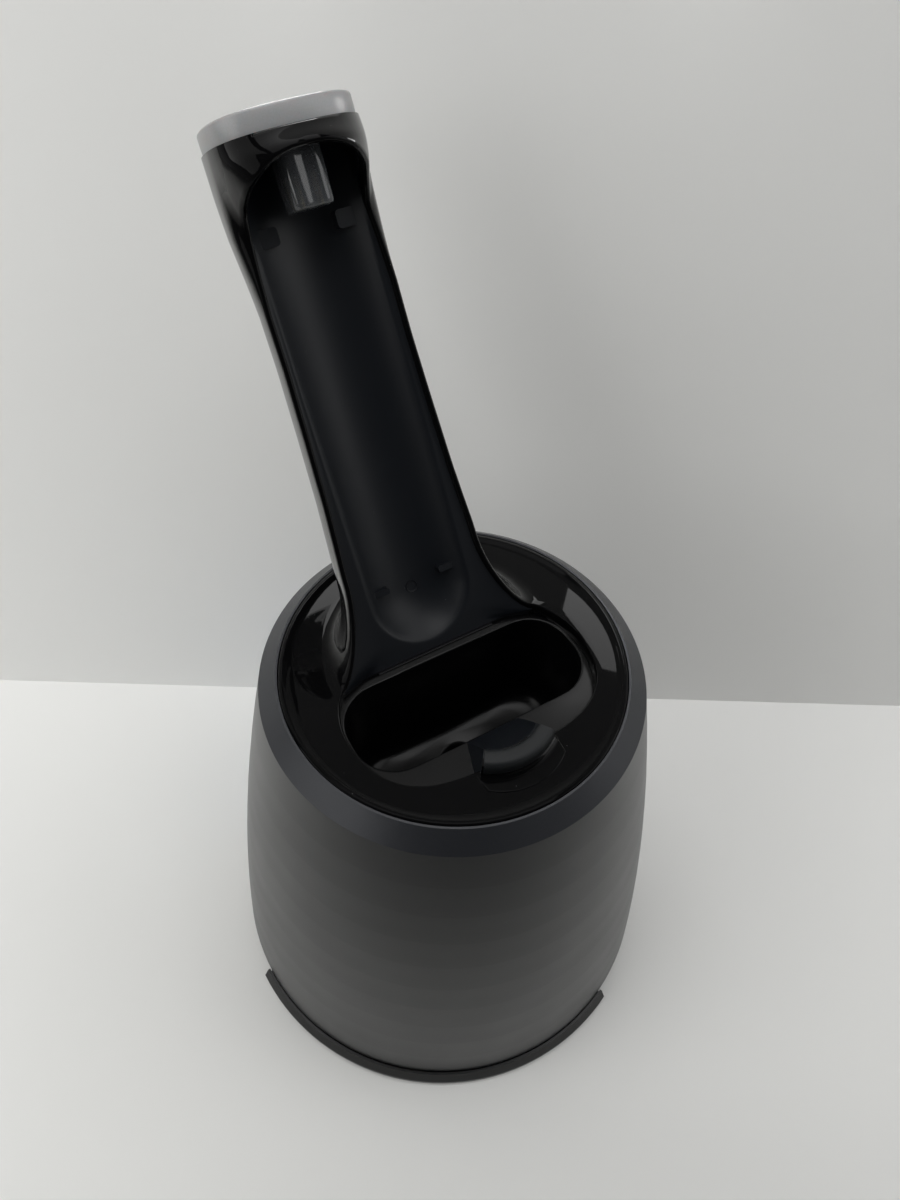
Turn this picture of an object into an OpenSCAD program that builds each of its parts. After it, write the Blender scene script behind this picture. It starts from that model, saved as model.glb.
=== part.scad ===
/* [Base] */
// How far the base band stands out past the shell
band_out = 2.3; // [2:0.1:4]
// Height of the top of the base band above the table
band_top = 5.2; // [4.8:0.1:6]
// Thickness of the base plate
plate_t = 3.2; // [2.4:0.1:4]
// Height of the rubber feet below the plate
foot_h = 0.8; // [0.6:0.1:1.2]
// Radius of a rubber foot
foot_r = 5; // [3:0.5:7]
// Depth of a foot's pocket in the plate
foot_pocket = 0.6; // [0.4:0.1:1]
// Direction of the front band, from the arm's plane
front_turn = -32.8; // [-45:0.1:0]
// Half angle that the front band covers
front_half = 54.7; // [40:0.1:70]

/* [Housing] */
// Outer radius of the shell at its lower edge
shell_r_low = 62.7; // [61.5:0.1:64]
// Height of the shell's upper edge
shell_top = 122.1; // [118:0.1:128]
// How far the shell's side bows out
shell_bow = 1.9; // [1:0.1:3]
// Wall of the shell
shell_wall = 2.2; // [1.8:0.1:2.4]
// Gap between the band and the shell
shell_gap = 0.5; // [0.3:0.1:0.8]
// Height of the bevelled trim ring
trim_h = 4.3; // [3:0.1:5]
// Width of the bevel, seen from above
bevel_w = 4.3; // [3.5:0.1:5]
// Deck between the bowl's ends and the bevel
deck_margin = 12; // [11.5:0.1:14]
// Width of the raised lip round the deck
lip_w = 1; // [0.6:0.1:1.5]
// Thickness of the deck
deck_t = 3; // [2.4:0.1:3.4]

/* [Bowl] */
// Half length of the bowl
bowl_hl = 29.5; // [27:0.5:30]
// Half width of the bowl
bowl_hw = 11.6; // [10:0.1:12]
// Middle of the bowl, ahead of the body's axis
bowl_y = -5.9; // [-7:0.1:-5]
// Corner radius of the bowl
bowl_cr = 10; // [6:0.5:10]
// Inside depth of the bowl
bowl_depth = 33; // [26:0.5:36]
// Wall of the bowl
bowl_wall = 1.8; // [1.4:0.1:2]
// Radius of the drain hole
drain_r = 4; // [3:0.5:5]

/* [Arm] */
// Lean of the arm from upright
arm_lean = 35.4; // [30:0.1:38]
// Where the arm's front face meets the deck
arm_y = 8.8; // [8.2:0.1:9.4]
// Half width of the arm at the deck
arm_hw_low = 18.1; // [17:0.1:19]
// Half width of the arm halfway up
arm_hw_mid = 15.8; // [15.2:0.1:16.5]
// Half width of the arm below the head
arm_hw_top = 14.5; // [14.2:0.1:15]
// Depth of the arm
arm_depth = 16; // [14:0.5:18]
// Wall of the arm's shells
arm_wall = 1.8; // [1.4:0.1:2]
// Half width of the shaver channel
chan_hw = 13.2; // [12:0.1:13.3]
// Depth of the channel at its middle
chan_depth = 6.4; // [5:0.1:6.6]
// Half width of the head
head_hw = 16.3; // [16:0.1:17]
// How far the head reaches forward over the channel
head_reach = 12.4; // [11:0.1:13]
// Length along the arm to the top of the black head
head_top = 112; // [110:0.5:114]
// Height of the light band above the head
cap_h = 4.4; // [3.5:0.1:5]
// Travel of the start button
start_travel = 0.8; // [0.5:0.1:1]

/* [Cartridge] */
// Room for the latch and the columns beside the cartridge
cart_room = 12.5; // [12.3:0.1:15]
// Height of the cartridge with its lid
cart_h = 43.6; // [38:0.2:44]
// Wall of the cartridge
cart_wall = 1.6; // [1.2:0.1:2]

/* [Lift] */
// Lift of the housing above the base
lift = 28; // [20:1:30]
// Travel of the lift button
lift_press = 3; // [2:0.5:3]
// Radius of a guide column
column_r = 3.2; // [2.8:0.1:3.4]

/* [Pump] */
// Radius of the pump's motor
motor_r = 11.5; // [9:0.5:12]
// Length of the motor
motor_h = 28; // [22:1:30]
// Radius of the impeller
impeller_r = 9; // [7:0.5:10]

/* [Hidden] */
$fn = 72;

base_r = shell_r_low + band_out;
deck_r = bowl_hl + deck_margin;
shell_r_top = deck_r + bevel_w;
shell_z = band_top + shell_gap;
shell_h = shell_top - shell_z;
plate_z = foot_h + plate_t;
deck_z = shell_top + trim_h;
dish = 0.5;
deck_under = deck_z - deck_t - dish;
run = 0.2;
eps = 0.01;
far = 400;

// Radius of the shell's outside at a height: a straight taper that bows out
function shell_at(z) = let (t = (z - shell_z) / shell_h)
    shell_r_low + (shell_r_top - shell_r_low) * t + 4 * shell_bow * t * (1 - t);
function shell_in(z) = shell_at(z) - shell_wall;

cart_z = plate_z + run;
cart_top = cart_z + cart_h;
bar_z = cart_top + 2.2;
bar_t = 3;
chassis_z = bar_z + bar_t + 3;
chassis_t = 3;
chassis_top = chassis_z + chassis_t;
bar_r = shell_in(bar_z + bar_t) - 5.5;
cart_r = shell_in(bar_z + bar_t) - cart_room;
sleeve_r = column_r + 1.4;
column_circle = cart_r + sleeve_r + 1.4;

// Points on an arc about a centre
function arc(c, r, a, b, n) =
    [for (i = [0:n]) c + r * [cos(a + (b - a) * i / n), sin(a + (b - a) * i / n)]];

// A slab whose outline is a rectangle with round corners
module rounded_slab(hx, hy, r, h) {
    linear_extrude(h) union() {
        square([2 * hx, 2 * (hy - r)], center = true);
        square([2 * (hx - r), 2 * hy], center = true);
        for (sx = [-1, 1], sy = [-1, 1])
            translate([sx * (hx - r), sy * (hy - r)]) circle(r);
    }
}

module tube(r_out, r_in, h) {
    difference() {
        cylinder(r = r_out, h = h);
        translate([0, 0, -eps]) cylinder(r = r_in, h = h + 2 * eps);
    }
}

// A part of a ring, between two angles from the front, seen from above
module ring_sector(r_out, r_in, h, from, to) {
    rotate([0, 0, from - 90]) rotate_extrude(angle = to - from)
        translate([r_in, 0]) square([r_out - r_in, h]);
}

// Places children on a circle at an angle from the front
module at_turn(turn, r) {
    rotate([0, 0, turn]) translate([0, -r, 0]) children();
}

// ---- base ----
plate_r = shell_r_low - 2.5;
band_in = shell_r_low + 0.2;
band_chamfer = 1.4;
flange_t = 1.6;
foot_turns = [-100, -55, 0, 55, 100, 180];
foot_circle = plate_r - foot_r - 3.2;
screw_r = 1.4;
screw_head_r = 2.6;
screw_head_h = 1.4;
screw_turns = [-85, -30, 30, 85];

module base_plate() color("#0d0d0e") {
    difference() {
        union() {
            translate([0, 0, foot_h]) cylinder(r = plate_r, h = plate_t);
            rotate([0, 0, front_turn - front_half - 90]) rotate_extrude(angle = 2 * front_half)
                polygon([[plate_r - 1, foot_h], [base_r, foot_h], [base_r, foot_h + band_chamfer],
                    [base_r - band_chamfer, band_top], [band_in, band_top],
                    [band_in, foot_h + flange_t], [plate_r - 1, foot_h + flange_t]]);
        }
        for (t = foot_turns) at_turn(t, foot_circle)
            translate([0, 0, foot_h - eps]) cylinder(r = foot_r + run / 2, h = foot_pocket + eps);
        for (t = screw_turns) at_turn(t, base_screw_circle) {
            translate([0, 0, foot_h - eps]) cylinder(r = screw_head_r + run, h = screw_head_h + eps);
            cylinder(r = screw_r + run, h = plate_z + eps);
        }
    }
}

module rubber_feet() color("#2a2a2a")
    for (t = foot_turns) at_turn(t, foot_circle) cylinder(r = foot_r, h = foot_h + foot_pocket);

fence_gap = 0.6;
fence_t = 1.5;
fence_h = 4.4;
fence_len = 38;
fence_r = cart_r + fence_gap + fence_t;
boss_out = 1.9;
base_screw_circle = fence_r + boss_out;

module cartridge_guide() color("#161617") translate([0, 0, plate_z]) difference() {
    union() {
        ring_sector(fence_r, cart_r + fence_gap, fence_h, -90, 90);
        for (s = [-1, 1]) translate([s * (fence_r - fence_t / 2) - fence_t / 2, 0, 0])
            cube([fence_t, fence_len, fence_h]);
        for (t = screw_turns) at_turn(t, base_screw_circle)
            cylinder(r = screw_r + 1.2, h = fence_h);
    }
    for (t = screw_turns) at_turn(t, base_screw_circle) translate([0, 0, -eps])
        cylinder(r = screw_r + 0.1, h = fence_h - 1);
}

column_turns = [-60, 0, 60];
column_top = chassis_z - 6;
spring_r = 2;
spring_run = 0.2;

module guide_columns() color("#1b1b1d")
    for (t = column_turns) at_turn(t, column_circle) translate([0, 0, plate_z])
        tube(column_r, spring_r + spring_run, column_top - plate_z);

sleeve_roof = chassis_z - 2;

module lift_springs() color("#9a9ca0")
    for (t = column_turns) at_turn(t, column_circle) translate([0, 0, plate_z])
        tube(spring_r, spring_r - 0.7, sleeve_roof - plate_z);

module base_screws() color("#8d8f92")
    for (t = screw_turns) at_turn(t, base_screw_circle) translate([0, 0, foot_h]) {
        cylinder(r = screw_head_r, h = screw_head_h);
        cylinder(r = screw_r, h = plate_t + fence_h - 1.4);
    }

bar_w = 3.4;
nose_y = 1.2;
nose_w = 3;
nose_out = 4;
bar_end = 95;
post_x = bar_r + 0.4;
post_w = 3.6;

module latch_posts() color("#1b1b1d")
    for (s = [-1, 1]) translate([s * (post_x + post_w / 2), nose_y + nose_w + run + 2, plate_z])
        translate([-post_w / 2, -2, 0]) cube([post_w, 4, bar_z + bar_t - plate_z]);

// ---- housing ----
bay_hw = cart_r + 2.5;
bay_top = cart_top + 1.6;
bay_cr = 3;
profile_n = 10;
window_hw = 11;
window_hh = 4.5;
window_z = 64;
window_cr = 3;

inlet_hw = 7;
inlet_hh = 5;
pump_h = 9;
pump_cover_t = 1.8;
motor_z = chassis_top + pump_h + pump_cover_t;
inlet_z = motor_z + motor_h + inlet_hh + 5.2;

// The arched way out at the back, for the cartridge
module bay_cut() {
    translate([0, far, 0]) rotate([90, 0, 0]) linear_extrude(far) union() {
        translate([-bay_hw, 0]) square([2 * bay_hw, bay_top - bay_cr]);
        translate([-bay_hw + bay_cr, 0]) square([2 * (bay_hw - bay_cr), bay_top]);
        for (s = [-1, 1]) translate([s * (bay_hw - bay_cr), bay_top - bay_cr]) circle(bay_cr);
    }
}

// A round-cornered hole through the back wall
module back_window(hw, hh, r, z) {
    translate([0, far / 2, z]) rotate([90, 0, 0]) rounded_slab(hw, hh, r, far / 2 - 30);
}

boss_turns = [-130, -30, 30, 130];
boss_r = 3.4;
boss_h = 12;
rib_half = 1.2;
screw_bore = screw_r + 0.1;
boss_circle = shell_in(chassis_top + boss_h) - boss_r - 0.1;

module outer_shell() color("#3b3d3f") difference() {
    union() {
        rotate_extrude() polygon(concat(
            [for (i = [0:profile_n]) let (z = shell_z + shell_h * i / profile_n) [shell_at(z), z]],
            [for (i = [profile_n:-1:0]) let (z = shell_z + shell_h * i / profile_n) [shell_in(z), z]]));
        intersection() {
            for (t = boss_turns) at_turn(t, boss_circle) translate([0, 0, chassis_top]) {
                cylinder(r = boss_r, h = boss_h);
                translate([-rib_half, -2 * boss_r, 0]) cube([2 * rib_half, 2 * boss_r, boss_h]);
            }
            cylinder(r = shell_at(chassis_top + boss_h) - shell_wall / 2, h = far);
        }
    }
    for (t = boss_turns) at_turn(t, boss_circle) translate([0, 0, chassis_top - eps])
        cylinder(r = screw_bore, h = boss_h - 1);
    bay_cut();
    back_window(window_hw + run, window_hh + run, window_cr + run, window_z);
    back_window(inlet_hw + run, inlet_hh + run, window_cr + run, inlet_z);
}

liner_lip = 1.2;
liner_h = 9;
liner_t = 1.2;
liner_run = 0.1;
liner_r = shell_in(shell_z + liner_h) - liner_run;

module shell_liner() color("#0b0b0c") difference() {
    rotate_extrude() polygon([
        [liner_r - liner_t, shell_z - liner_lip], [shell_r_low - 0.4, shell_z - liner_lip],
        [shell_r_low - 0.4, shell_z], [shell_in(shell_z) - liner_run, shell_z],
        [liner_r, shell_z + liner_h], [liner_r - liner_t, shell_z + liner_h]]);
    bay_cut();
}

spigot_h = 2;
ledge_w = 1.6;
ledge_t = 1.6;

module trim_ring() color("#2e3033") rotate_extrude() polygon([
    [shell_r_top, shell_top], [deck_r, deck_z], [deck_r - lip_w / 2, deck_z],
    [deck_r - lip_w / 2, deck_under], [deck_r - lip_w / 2 - ledge_w, deck_under],
    [deck_r - lip_w / 2 - ledge_w, deck_under - ledge_t],
    [shell_r_top - shell_wall - run, shell_top - spigot_h],
    [shell_r_top - shell_wall - run, shell_top]]);

// ---- deck and bowl ----
open_cr = bowl_hw + 6.6;
open_cx = bowl_hl + 2 - open_cr;
open_cy = bowl_y - 2.9;
open_front = open_cr - open_cy;
side_r = 22;
neck_hw = arm_hw_low + 1.5;
neck_y = arm_y + 9.8;
tongue_hole_hw = 7.4;
tongue_hole_y = [neck_y - 1, neck_y + 6.8];

// Outline of the opening in the deck: round front corners, drawn in towards the arm
module opening_outline(grow) {
    union() {
        for (s = [-1, 1]) translate([s * open_cx, open_cy]) circle(open_cr + grow);
        translate([-open_cx, open_cy - open_cr - grow]) square([2 * open_cx, open_cr + grow]);
        polygon(concat([[-open_cx - open_cr - grow, open_cy], [open_cx + open_cr + grow, open_cy]],
            arc([open_cx + open_cr - side_r, open_cy], side_r + grow, 12, 60, 4),
            [[neck_hw + grow, neck_y + grow], [-neck_hw - grow, neck_y + grow]],
            [for (p = arc([open_cx + open_cr - side_r, open_cy], side_r + grow, 60, 12, 4)) [-p.x, p.y]]));
    }
}

// Heading of the front of the arm, in degrees from +X
ahead = 270;
collar_hw = 10.4;
collar_r = 15.6;
collar_reach = 8.6;
collar_half = 40;
collar_side = 6;

module top_deck() color("#08080a") difference() {
    rotate_extrude() polygon([[0, deck_under], [deck_r - lip_w / 2 - run / 2, deck_under],
        [deck_r - lip_w / 2 - run / 2, deck_z], [deck_r - 2 * lip_w, deck_z],
        [deck_r - 2.2 * lip_w, deck_z - 0.25], [0, deck_z - dish]]);
    translate([0, 0, deck_z - 3 * deck_t]) linear_extrude(4 * deck_t) opening_outline(0);
    translate([0, 0, deck_z - 3 * deck_t]) linear_extrude(4 * deck_t) collar_outline(run / 2);
    translate([-tongue_hole_hw, tongue_hole_y[0], 0])
        cube([2 * tongue_hole_hw, tongue_hole_y[1] - tongue_hole_y[0], far]);
}

seal_t = 0.6;
seal_w = 2;
flange_z = deck_under - seal_t;
bowl_flange_t = 1.4;
bowl_top = flange_z;
bowl_floor = bowl_top - bowl_depth;

module bowl_seal() color("#1c1c1e") translate([0, 0, flange_z]) difference() {
    linear_extrude(seal_t) opening_outline(1 + seal_w);
    translate([0, 0, -eps]) linear_extrude(seal_t + 2 * eps) opening_outline(1);
    translate([-neck_hw - 5, neck_y - 3, -eps]) cube([2 * neck_hw + 10, 20, 2 * seal_t]);
}

module wash_bowl() color("#060607") difference() {
    union() {
        translate([0, 0, flange_z - bowl_flange_t]) linear_extrude(bowl_flange_t)
            intersection() {
                opening_outline(1 + seal_w + 0.6);
                translate([-far / 2, -far]) square([far, far + bowl_y + bowl_hw + 1.2]);
            }
        translate([0, bowl_y, bowl_floor - bowl_wall])
            rounded_slab(bowl_hl + bowl_wall, bowl_hw + bowl_wall, bowl_cr + bowl_wall,
                bowl_depth + bowl_wall - eps);
    }
    translate([0, bowl_y, bowl_floor]) rounded_slab(bowl_hl, bowl_hw, bowl_cr, 2 * bowl_depth);
    translate([0, bowl_y, bowl_floor - 2 * bowl_wall]) cylinder(r = drain_r, h = 4 * bowl_wall);
    translate([hose_x, hose_y, hose_top]) rotate([90, 0, 0])
        cylinder(r = hose_bore, h = hose_y - bowl_y);
}

pad_rise = 3.6;
pad_t = 1.2;
pad_arc_r = 15.4;
pad_arc_y = pad_arc_r - open_front - 3.9;
pad_half = 34;
pad_w = 4.4;

// Outline of the collar's foot, a notch in the front of the opening
module collar_outline(grow) {
    polygon(concat([[-collar_hw - grow, collar_side - open_front], [-collar_hw - grow, -open_front - 1]],
        arc([0, collar_r - open_front - collar_reach], collar_r + grow, ahead - collar_half,
            ahead + collar_half, 8),
        [[collar_hw + grow, -open_front - 1], [collar_hw + grow, collar_side - open_front]]));
}

// A crescent that is round to the front
module crescent(r, w, half, n) {
    polygon(concat(arc([0, pad_arc_y], r, ahead - half, ahead + half, n),
        arc([0, pad_arc_y], r - w, ahead + half, ahead - half, n)));
}

module pad_collar() color("#08080a") {
    difference() {
        translate([0, 0, deck_under]) linear_extrude(deck_t) collar_outline(0);
        translate([-far / 2, 1.5 - open_front, 0]) cube([far, far, far]);
    }
    hull() {
        translate([0, 0, deck_z - dish - eps]) linear_extrude(eps)
            crescent(pad_arc_r + 1.6, pad_w + 0.4, pad_half + 4, 8);
        translate([0, 0, deck_z - dish + pad_rise - eps]) linear_extrude(eps)
            crescent(pad_arc_r - 0.8, pad_w - 0.6, pad_half, 8);
    }
}

module guide_pad() color("#26272a") translate([0, 0, deck_z - dish + pad_rise])
    linear_extrude(pad_t) crescent(pad_arc_r - 0.9, pad_w - 0.8, pad_half - 1, 12);

// ---- inside the housing ----
sleeve_z = 9;
chassis_r = shell_in(chassis_top) - 0.65;
nozzle_r = 4;
leaf_t = 0.5;
leaf_y = bar_r - bar_w - lift_press - leaf_t - 0.7;
pump_r = impeller_r + 3;
motor_y = leaf_y - pump_r - 2.4;
hose_r = 2.6;
hose_x = motor_r + 5.5;
hose_y = motor_y - 9;
stem_hw = 9;

module chassis() color("#202124") difference() {
    translate([0, 0, chassis_z]) cylinder(r = chassis_r, h = chassis_t);
    for (t = boss_turns) at_turn(t, boss_circle) translate([0, 0, chassis_z - eps])
        cylinder(r = screw_bore, h = chassis_t + 2 * eps);
    translate([0, bowl_y, chassis_z - eps]) cylinder(r = funnel_r + run, h = chassis_t + 2 * eps);
    translate([0, motor_y, chassis_z - eps]) cylinder(r = nozzle_r + run, h = chassis_t + 2 * eps);
    translate([-stem_hw - 1, bar_r - bar_w - lift_press - 0.6, chassis_z - eps])
        cube([2 * stem_hw + 2, far, chassis_t + 2 * eps]);
}

module guide_sleeves() color("#202124")
    for (t = column_turns) at_turn(t, column_circle) translate([0, 0, sleeve_z]) difference() {
        cylinder(r = sleeve_r, h = chassis_z - sleeve_z);
        translate([0, 0, -eps]) cylinder(r = column_r + run / 2, h = sleeve_roof - sleeve_z + eps);
    }

module housing_screws() color("#8d8f92")
    for (t = boss_turns) at_turn(t, boss_circle) translate([0, 0, chassis_z - 1.6]) {
        cylinder(r = screw_head_r, h = 1.6);
        cylinder(r = screw_r, h = boss_h + chassis_t - 1);
    }

funnel_r = 5.2;
face_gap = 0.3;
seal_h = 2.4;

module drain_funnel() color("#1a1a1c") translate([0, bowl_y, 0]) rotate_extrude() polygon([
    [drain_r - 0.4, cart_top + seal_h], [funnel_r, cart_top + seal_h], [funnel_r, chassis_top],
    [funnel_r + 2, chassis_top], [drain_r + 3, bowl_floor - bowl_wall],
    [drain_r, bowl_floor - bowl_wall], [drain_r - 0.4, chassis_top]]);

module drain_seal() color("#3a3a3c") translate([0, bowl_y, cart_top + face_gap])
    tube(funnel_r + 1.2, drain_r - 0.6, seal_h - face_gap);

module suction_nozzle() color("#1a1a1c") translate([0, motor_y, cart_top + seal_h])
    tube(nozzle_r, 1.6, chassis_top - cart_top - seal_h);

module nozzle_seal() color("#3a3a3c") translate([0, motor_y, cart_top + face_gap])
    tube(nozzle_r + 1.2, 1.6, seal_h - face_gap);

pump_floor = 1.6;
shaft_r = 1.2;
nipple_x = 7;

module pump_housing() color("#242528") translate([0, motor_y, chassis_top]) difference() {
    union() {
        cylinder(r = pump_r, h = pump_h);
        translate([hose_x, hose_y - motor_y, 0]) cylinder(r = hose_r + 1.2, h = pump_h - 2);
        translate([nipple_x, hose_y - motor_y - 1.6, 0]) cube([hose_x - nipple_x, 3.2, pump_h - 3]);
    }
    translate([0, 0, pump_floor]) cylinder(r = impeller_r + 0.8, h = pump_h);
    translate([0, 0, -eps]) cylinder(r = 1.6, h = pump_h);
    translate([hose_x, hose_y - motor_y, 3]) cylinder(r = hose_r + 0.1, h = pump_h);
}

module pump_cover() color("#2c2d30") translate([0, motor_y, chassis_top + pump_h])
    tube(pump_r, shaft_r + 0.1, pump_cover_t);

lug_x = 6;

module pump_motor() color("#a3a6a9") translate([0, motor_y, motor_z]) difference() {
    union() {
        cylinder(r = motor_r, h = motor_h);
        translate([0, 0, motor_h]) cylinder(r = 3.4, h = 1.6);
        for (s = [-1, 1]) translate([s * lug_x, -2.6, motor_h]) cube([0.8, 2.4, 3.4], center = true);
    }
    translate([0, 0, -eps]) cylinder(r = shaft_r + 0.1, h = 12);
}

hose_bore = 1.5;

hose_bend = 7;
hose_top = 92;

module supply_hose() color("#55585a") {
    translate([hose_x, hose_y, chassis_top + 3])
        tube(hose_r, hose_bore, hose_top - hose_bend - chassis_top - 3);
    translate([hose_x, hose_y - hose_bend, hose_top - hose_bend]) rotate([0, 0, 90]) rotate([90, 0, 0])
        rotate_extrude(angle = 90) translate([hose_bend, 0]) difference() {
            circle(hose_r);
            circle(hose_bore);
        }
    translate([hose_x, hose_y - hose_bend, hose_top]) rotate([90, 0, 0])
        tube(hose_r, hose_bore, hose_y - hose_bend - bowl_y - bowl_hw - bowl_wall);
}

board_x = -bowl_hl - bowl_wall - 7.3;
board_y = -14;
board_len = 36;
board_h = 40;
board_t = 1.6;
chip = [4, 10, 8];
coil_r = 3.4;

module main_board() color("#1d5a38") translate([board_x - board_t / 2, board_y, chassis_top]) {
    cube([board_t, board_len, board_h]);
    translate([board_t, chip.y / 2, chip.z]) cube(chip);
    translate([board_t, board_len - chip.y, board_h - 2 * chip.z]) rotate([0, 90, 0])
        cylinder(r = coil_r, h = chip.x);
}

inlet_depth = 9;
inlet_back = 2;
inlet_wall = 1.3;
inlet_inset = 0.6;
pin_x = 3.6;

module power_inlet() color("#101011") difference() {
    translate([0, shell_at(inlet_z) - inlet_inset, inlet_z]) rotate([90, 0, 0])
        rounded_slab(inlet_hw, inlet_hh, window_cr, inlet_depth + inlet_back);
    translate([0, shell_at(inlet_z), inlet_z]) rotate([90, 0, 0])
        rounded_slab(inlet_hw - inlet_wall, inlet_hh - inlet_wall, 2, inlet_depth);
}

module inlet_pins() color("#c8c8ca")
    for (s = [-1, 1]) translate([s * pin_x, shell_at(inlet_z) - inlet_depth, inlet_z])
        rotate([-90, 0, 0]) cylinder(r = 0.8, h = 6);

module button_leaf() color("#b5b7ba")
    translate([-5, leaf_y, chassis_top])
        cube([10, leaf_t, window_z + 1 - chassis_top]);

button_proud = 0.5;
scoop_r = 35.6;
scoop_depth = 0.6;

module lift_button() color("#161618") difference() {
    translate([0, shell_at(window_z) + button_proud, window_z]) rotate([90, 0, 0])
        rounded_slab(window_hw, window_hh, window_cr, shell_at(window_z) + button_proud - bar_r + bar_w);
    translate([0, shell_at(window_z) + button_proud + scoop_r - scoop_depth, window_z])
        cylinder(r = scoop_r, h = far, center = true);
}

module latch_bar() color("#5d5f62") translate([0, 0, bar_z]) {
    ring_sector(bar_r, bar_r - bar_w, bar_t, bar_end, 360 - bar_end);
    translate([-stem_hw, bar_r - bar_w, 0]) cube([2 * stem_hw, 2, window_z - window_hh - bar_z]);
}

module latch_noses() color("#5d5f62") for (s = [-1, 1])
    translate([s * (bar_r + 1) - nose_out / 2, nose_y, bar_z]) cube([nose_out, nose_w, bar_t]);

// ---- arm, in a frame of its own: z runs up the arm, y to its back ----
arm_mid_z = 45;
head_low = 88;
head_back = arm_depth + 0.6;
head_cr = 10.5;
arm_end = 108;
section_n = 10;
side_bulge = 0.3;
side_y = 5;
arm_low_z = -9;

module in_arm() {
    translate([0, arm_y, deck_z]) rotate([-arm_lean, 0, 0]) children();
}

// Cross-section of the arm: flat front, sides that swell a little, round back
function arm_section(hw, depth, inset) = concat(
    [[-hw + inset, inset], [hw - inset, inset]],
    [for (a = [0:180 / section_n:180])
        [(hw + side_bulge - inset) * cos(a), side_y + (depth - side_y - inset) * sin(a)]]);

module arm_slice(hw, inset, z) {
    translate([0, 0, z]) linear_extrude(eps) polygon(arm_section(hw, arm_depth, inset));
}

// The arm's whole envelope, moved inwards by inset
module arm_solid(inset) {
    hull() {
        arm_slice(arm_hw_low + 0.4, inset, arm_low_z);
        arm_slice(arm_hw_mid, inset, arm_mid_z);
    }
    hull() {
        arm_slice(arm_hw_mid, inset, arm_mid_z);
        arm_slice(arm_hw_top, inset, arm_end);
    }
}

chan_end_z = 12;
mouth_top = head_top - 3.8;
mouth_cr = 7;
chan_r = (chan_hw * chan_hw + chan_depth * chan_depth) / (2 * chan_depth);

// The channel in front view: a half-round lower end and an arched upper end, cut through the front
module channel_cut(hw, depth) {
    translate([0, depth, 0]) rotate([90, 0, 0]) linear_extrude(depth + far / 4) union() {
        translate([0, chan_end_z]) circle(hw);
        translate([-hw, chan_end_z]) square([2 * hw, mouth_top - mouth_cr - chan_end_z]);
        translate([mouth_cr - hw, chan_end_z]) square([2 * (hw - mouth_cr), mouth_top - chan_end_z]);
        for (s = [-1, 1]) translate([s * (hw - mouth_cr), mouth_top - mouth_cr]) circle(mouth_cr);
    }
}

// Below the deck the arm ends, except in the neck of the opening
module below_deck() {
    translate([-far / 2, neck_y - 0.6, deck_z - far]) cube([far, far, far - foot_seat]);
    translate([-far / 2, -far / 2, bowl_top - far]) cube([far, far, far + run]);
}

arm_split = 6;
arm_screw_z = [32, 74];
arm_head_h = 0.9;
foot_seat = 0.2;
flare_r = 9;
flare_t = 4.5;
flare_w = 6.5;

// The concave fillets where the arm's front edges run out into the deck
module foot_flare() difference() {
    in_arm() for (s = [-1, 1]) mirror([s < 0 ? 1 : 0, 0, 0]) translate([0, flare_t, 0])
        rotate([90, 0, 0]) linear_extrude(flare_t) difference() {
            translate([arm_hw_low - 2, -flare_r]) square([flare_w + 2, 2 * flare_r]);
            translate([arm_hw_low + flare_r - 0.6, flare_r]) circle(flare_r);
            translate([arm_hw_low - 3, flare_r]) square([flare_w + 4, flare_r + 1]);
        }
    translate([-far / 2, -far / 2, deck_z - far]) cube([far, far, far - foot_seat]);
}

// Side outline of the head: hooded front, sloping underside
module head_side() {
    polygon([[side_y, head_low], [0, head_low], [-2.8, 100], [-head_reach, 106.8],
        [-head_reach - 0.3, 108.6], [-head_reach + 0.6, head_top], [head_back - 1.5, head_top],
        [head_back, head_top - 7], [head_back, head_low]]);
}

module along_x(hw) {
    rotate([90, 0, 90]) translate([0, 0, -hw]) linear_extrude(2 * hw) children();
}

// Plan of the head, rounded at its corners
module head_plan(inset, h, z) {
    translate([0, (head_back - head_reach - 0.3) / 2, z])
        rounded_slab(head_hw - inset, (head_back + head_reach + 0.3) / 2 - inset, head_cr - inset, h);
}

module head_space(z) {
    translate([-far / 2, -far / 2, z]) cube([far, far, far]);
}

module arm_front_shell() color("#0a0a0c") {
    foot_flare();
    difference() {
        in_arm() difference() {
            intersection() {
                arm_solid(0);
                translate([-far / 2, -far / 2, -far / 2]) cube([far, far / 2 + arm_split, far]);
            }
            arm_solid(arm_wall);
            channel_cut(chan_hw + run / 2, chan_depth + 4);
            head_space(head_low);
        }
        below_deck();
    }
}

module arm_rear_shell() color("#0a0a0c") difference() {
    in_arm() difference() {
        intersection() {
            arm_solid(0);
            translate([-far / 2, arm_split, -far / 2]) cube([far, far, far]);
        }
        arm_solid(arm_wall);
        head_space(head_low);
        for (z = arm_screw_z) translate([0, 0, z]) rotate([-90, 0, 0]) {
            cylinder(r = screw_bore, h = far);
            translate([0, 0, arm_depth - arm_head_h]) cylinder(r = screw_head_r + run / 2, h = far);
        }
    }
    below_deck();
}

chan_t = 1.4;

// A long round trough with a ball end, which the channel's faces follow
module trough(r) {
    translate([0, chan_depth - chan_r, chan_end_z]) {
        cylinder(r = r, h = far / 4);
        sphere(r = r);
    }
}

module arm_channel() color("#1c1f26") in_arm() difference() {
    intersection() {
        trough(chan_r + chan_t);
        channel_cut(chan_hw, chan_depth + chan_t);
        translate([-far / 2, 0, -far / 2]) cube([far, far, far]);
    }
    trough(chan_r);
}

pad_x = 9;
pad_z = 94.4;
rib_x = 8.6;
rib_z = 14.1;
rest_rise = 1.2;

// How deep the channel is at a distance from its middle
function chan_at(x) = chan_depth - chan_r + sqrt(chan_r * chan_r - x * x);

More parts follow.
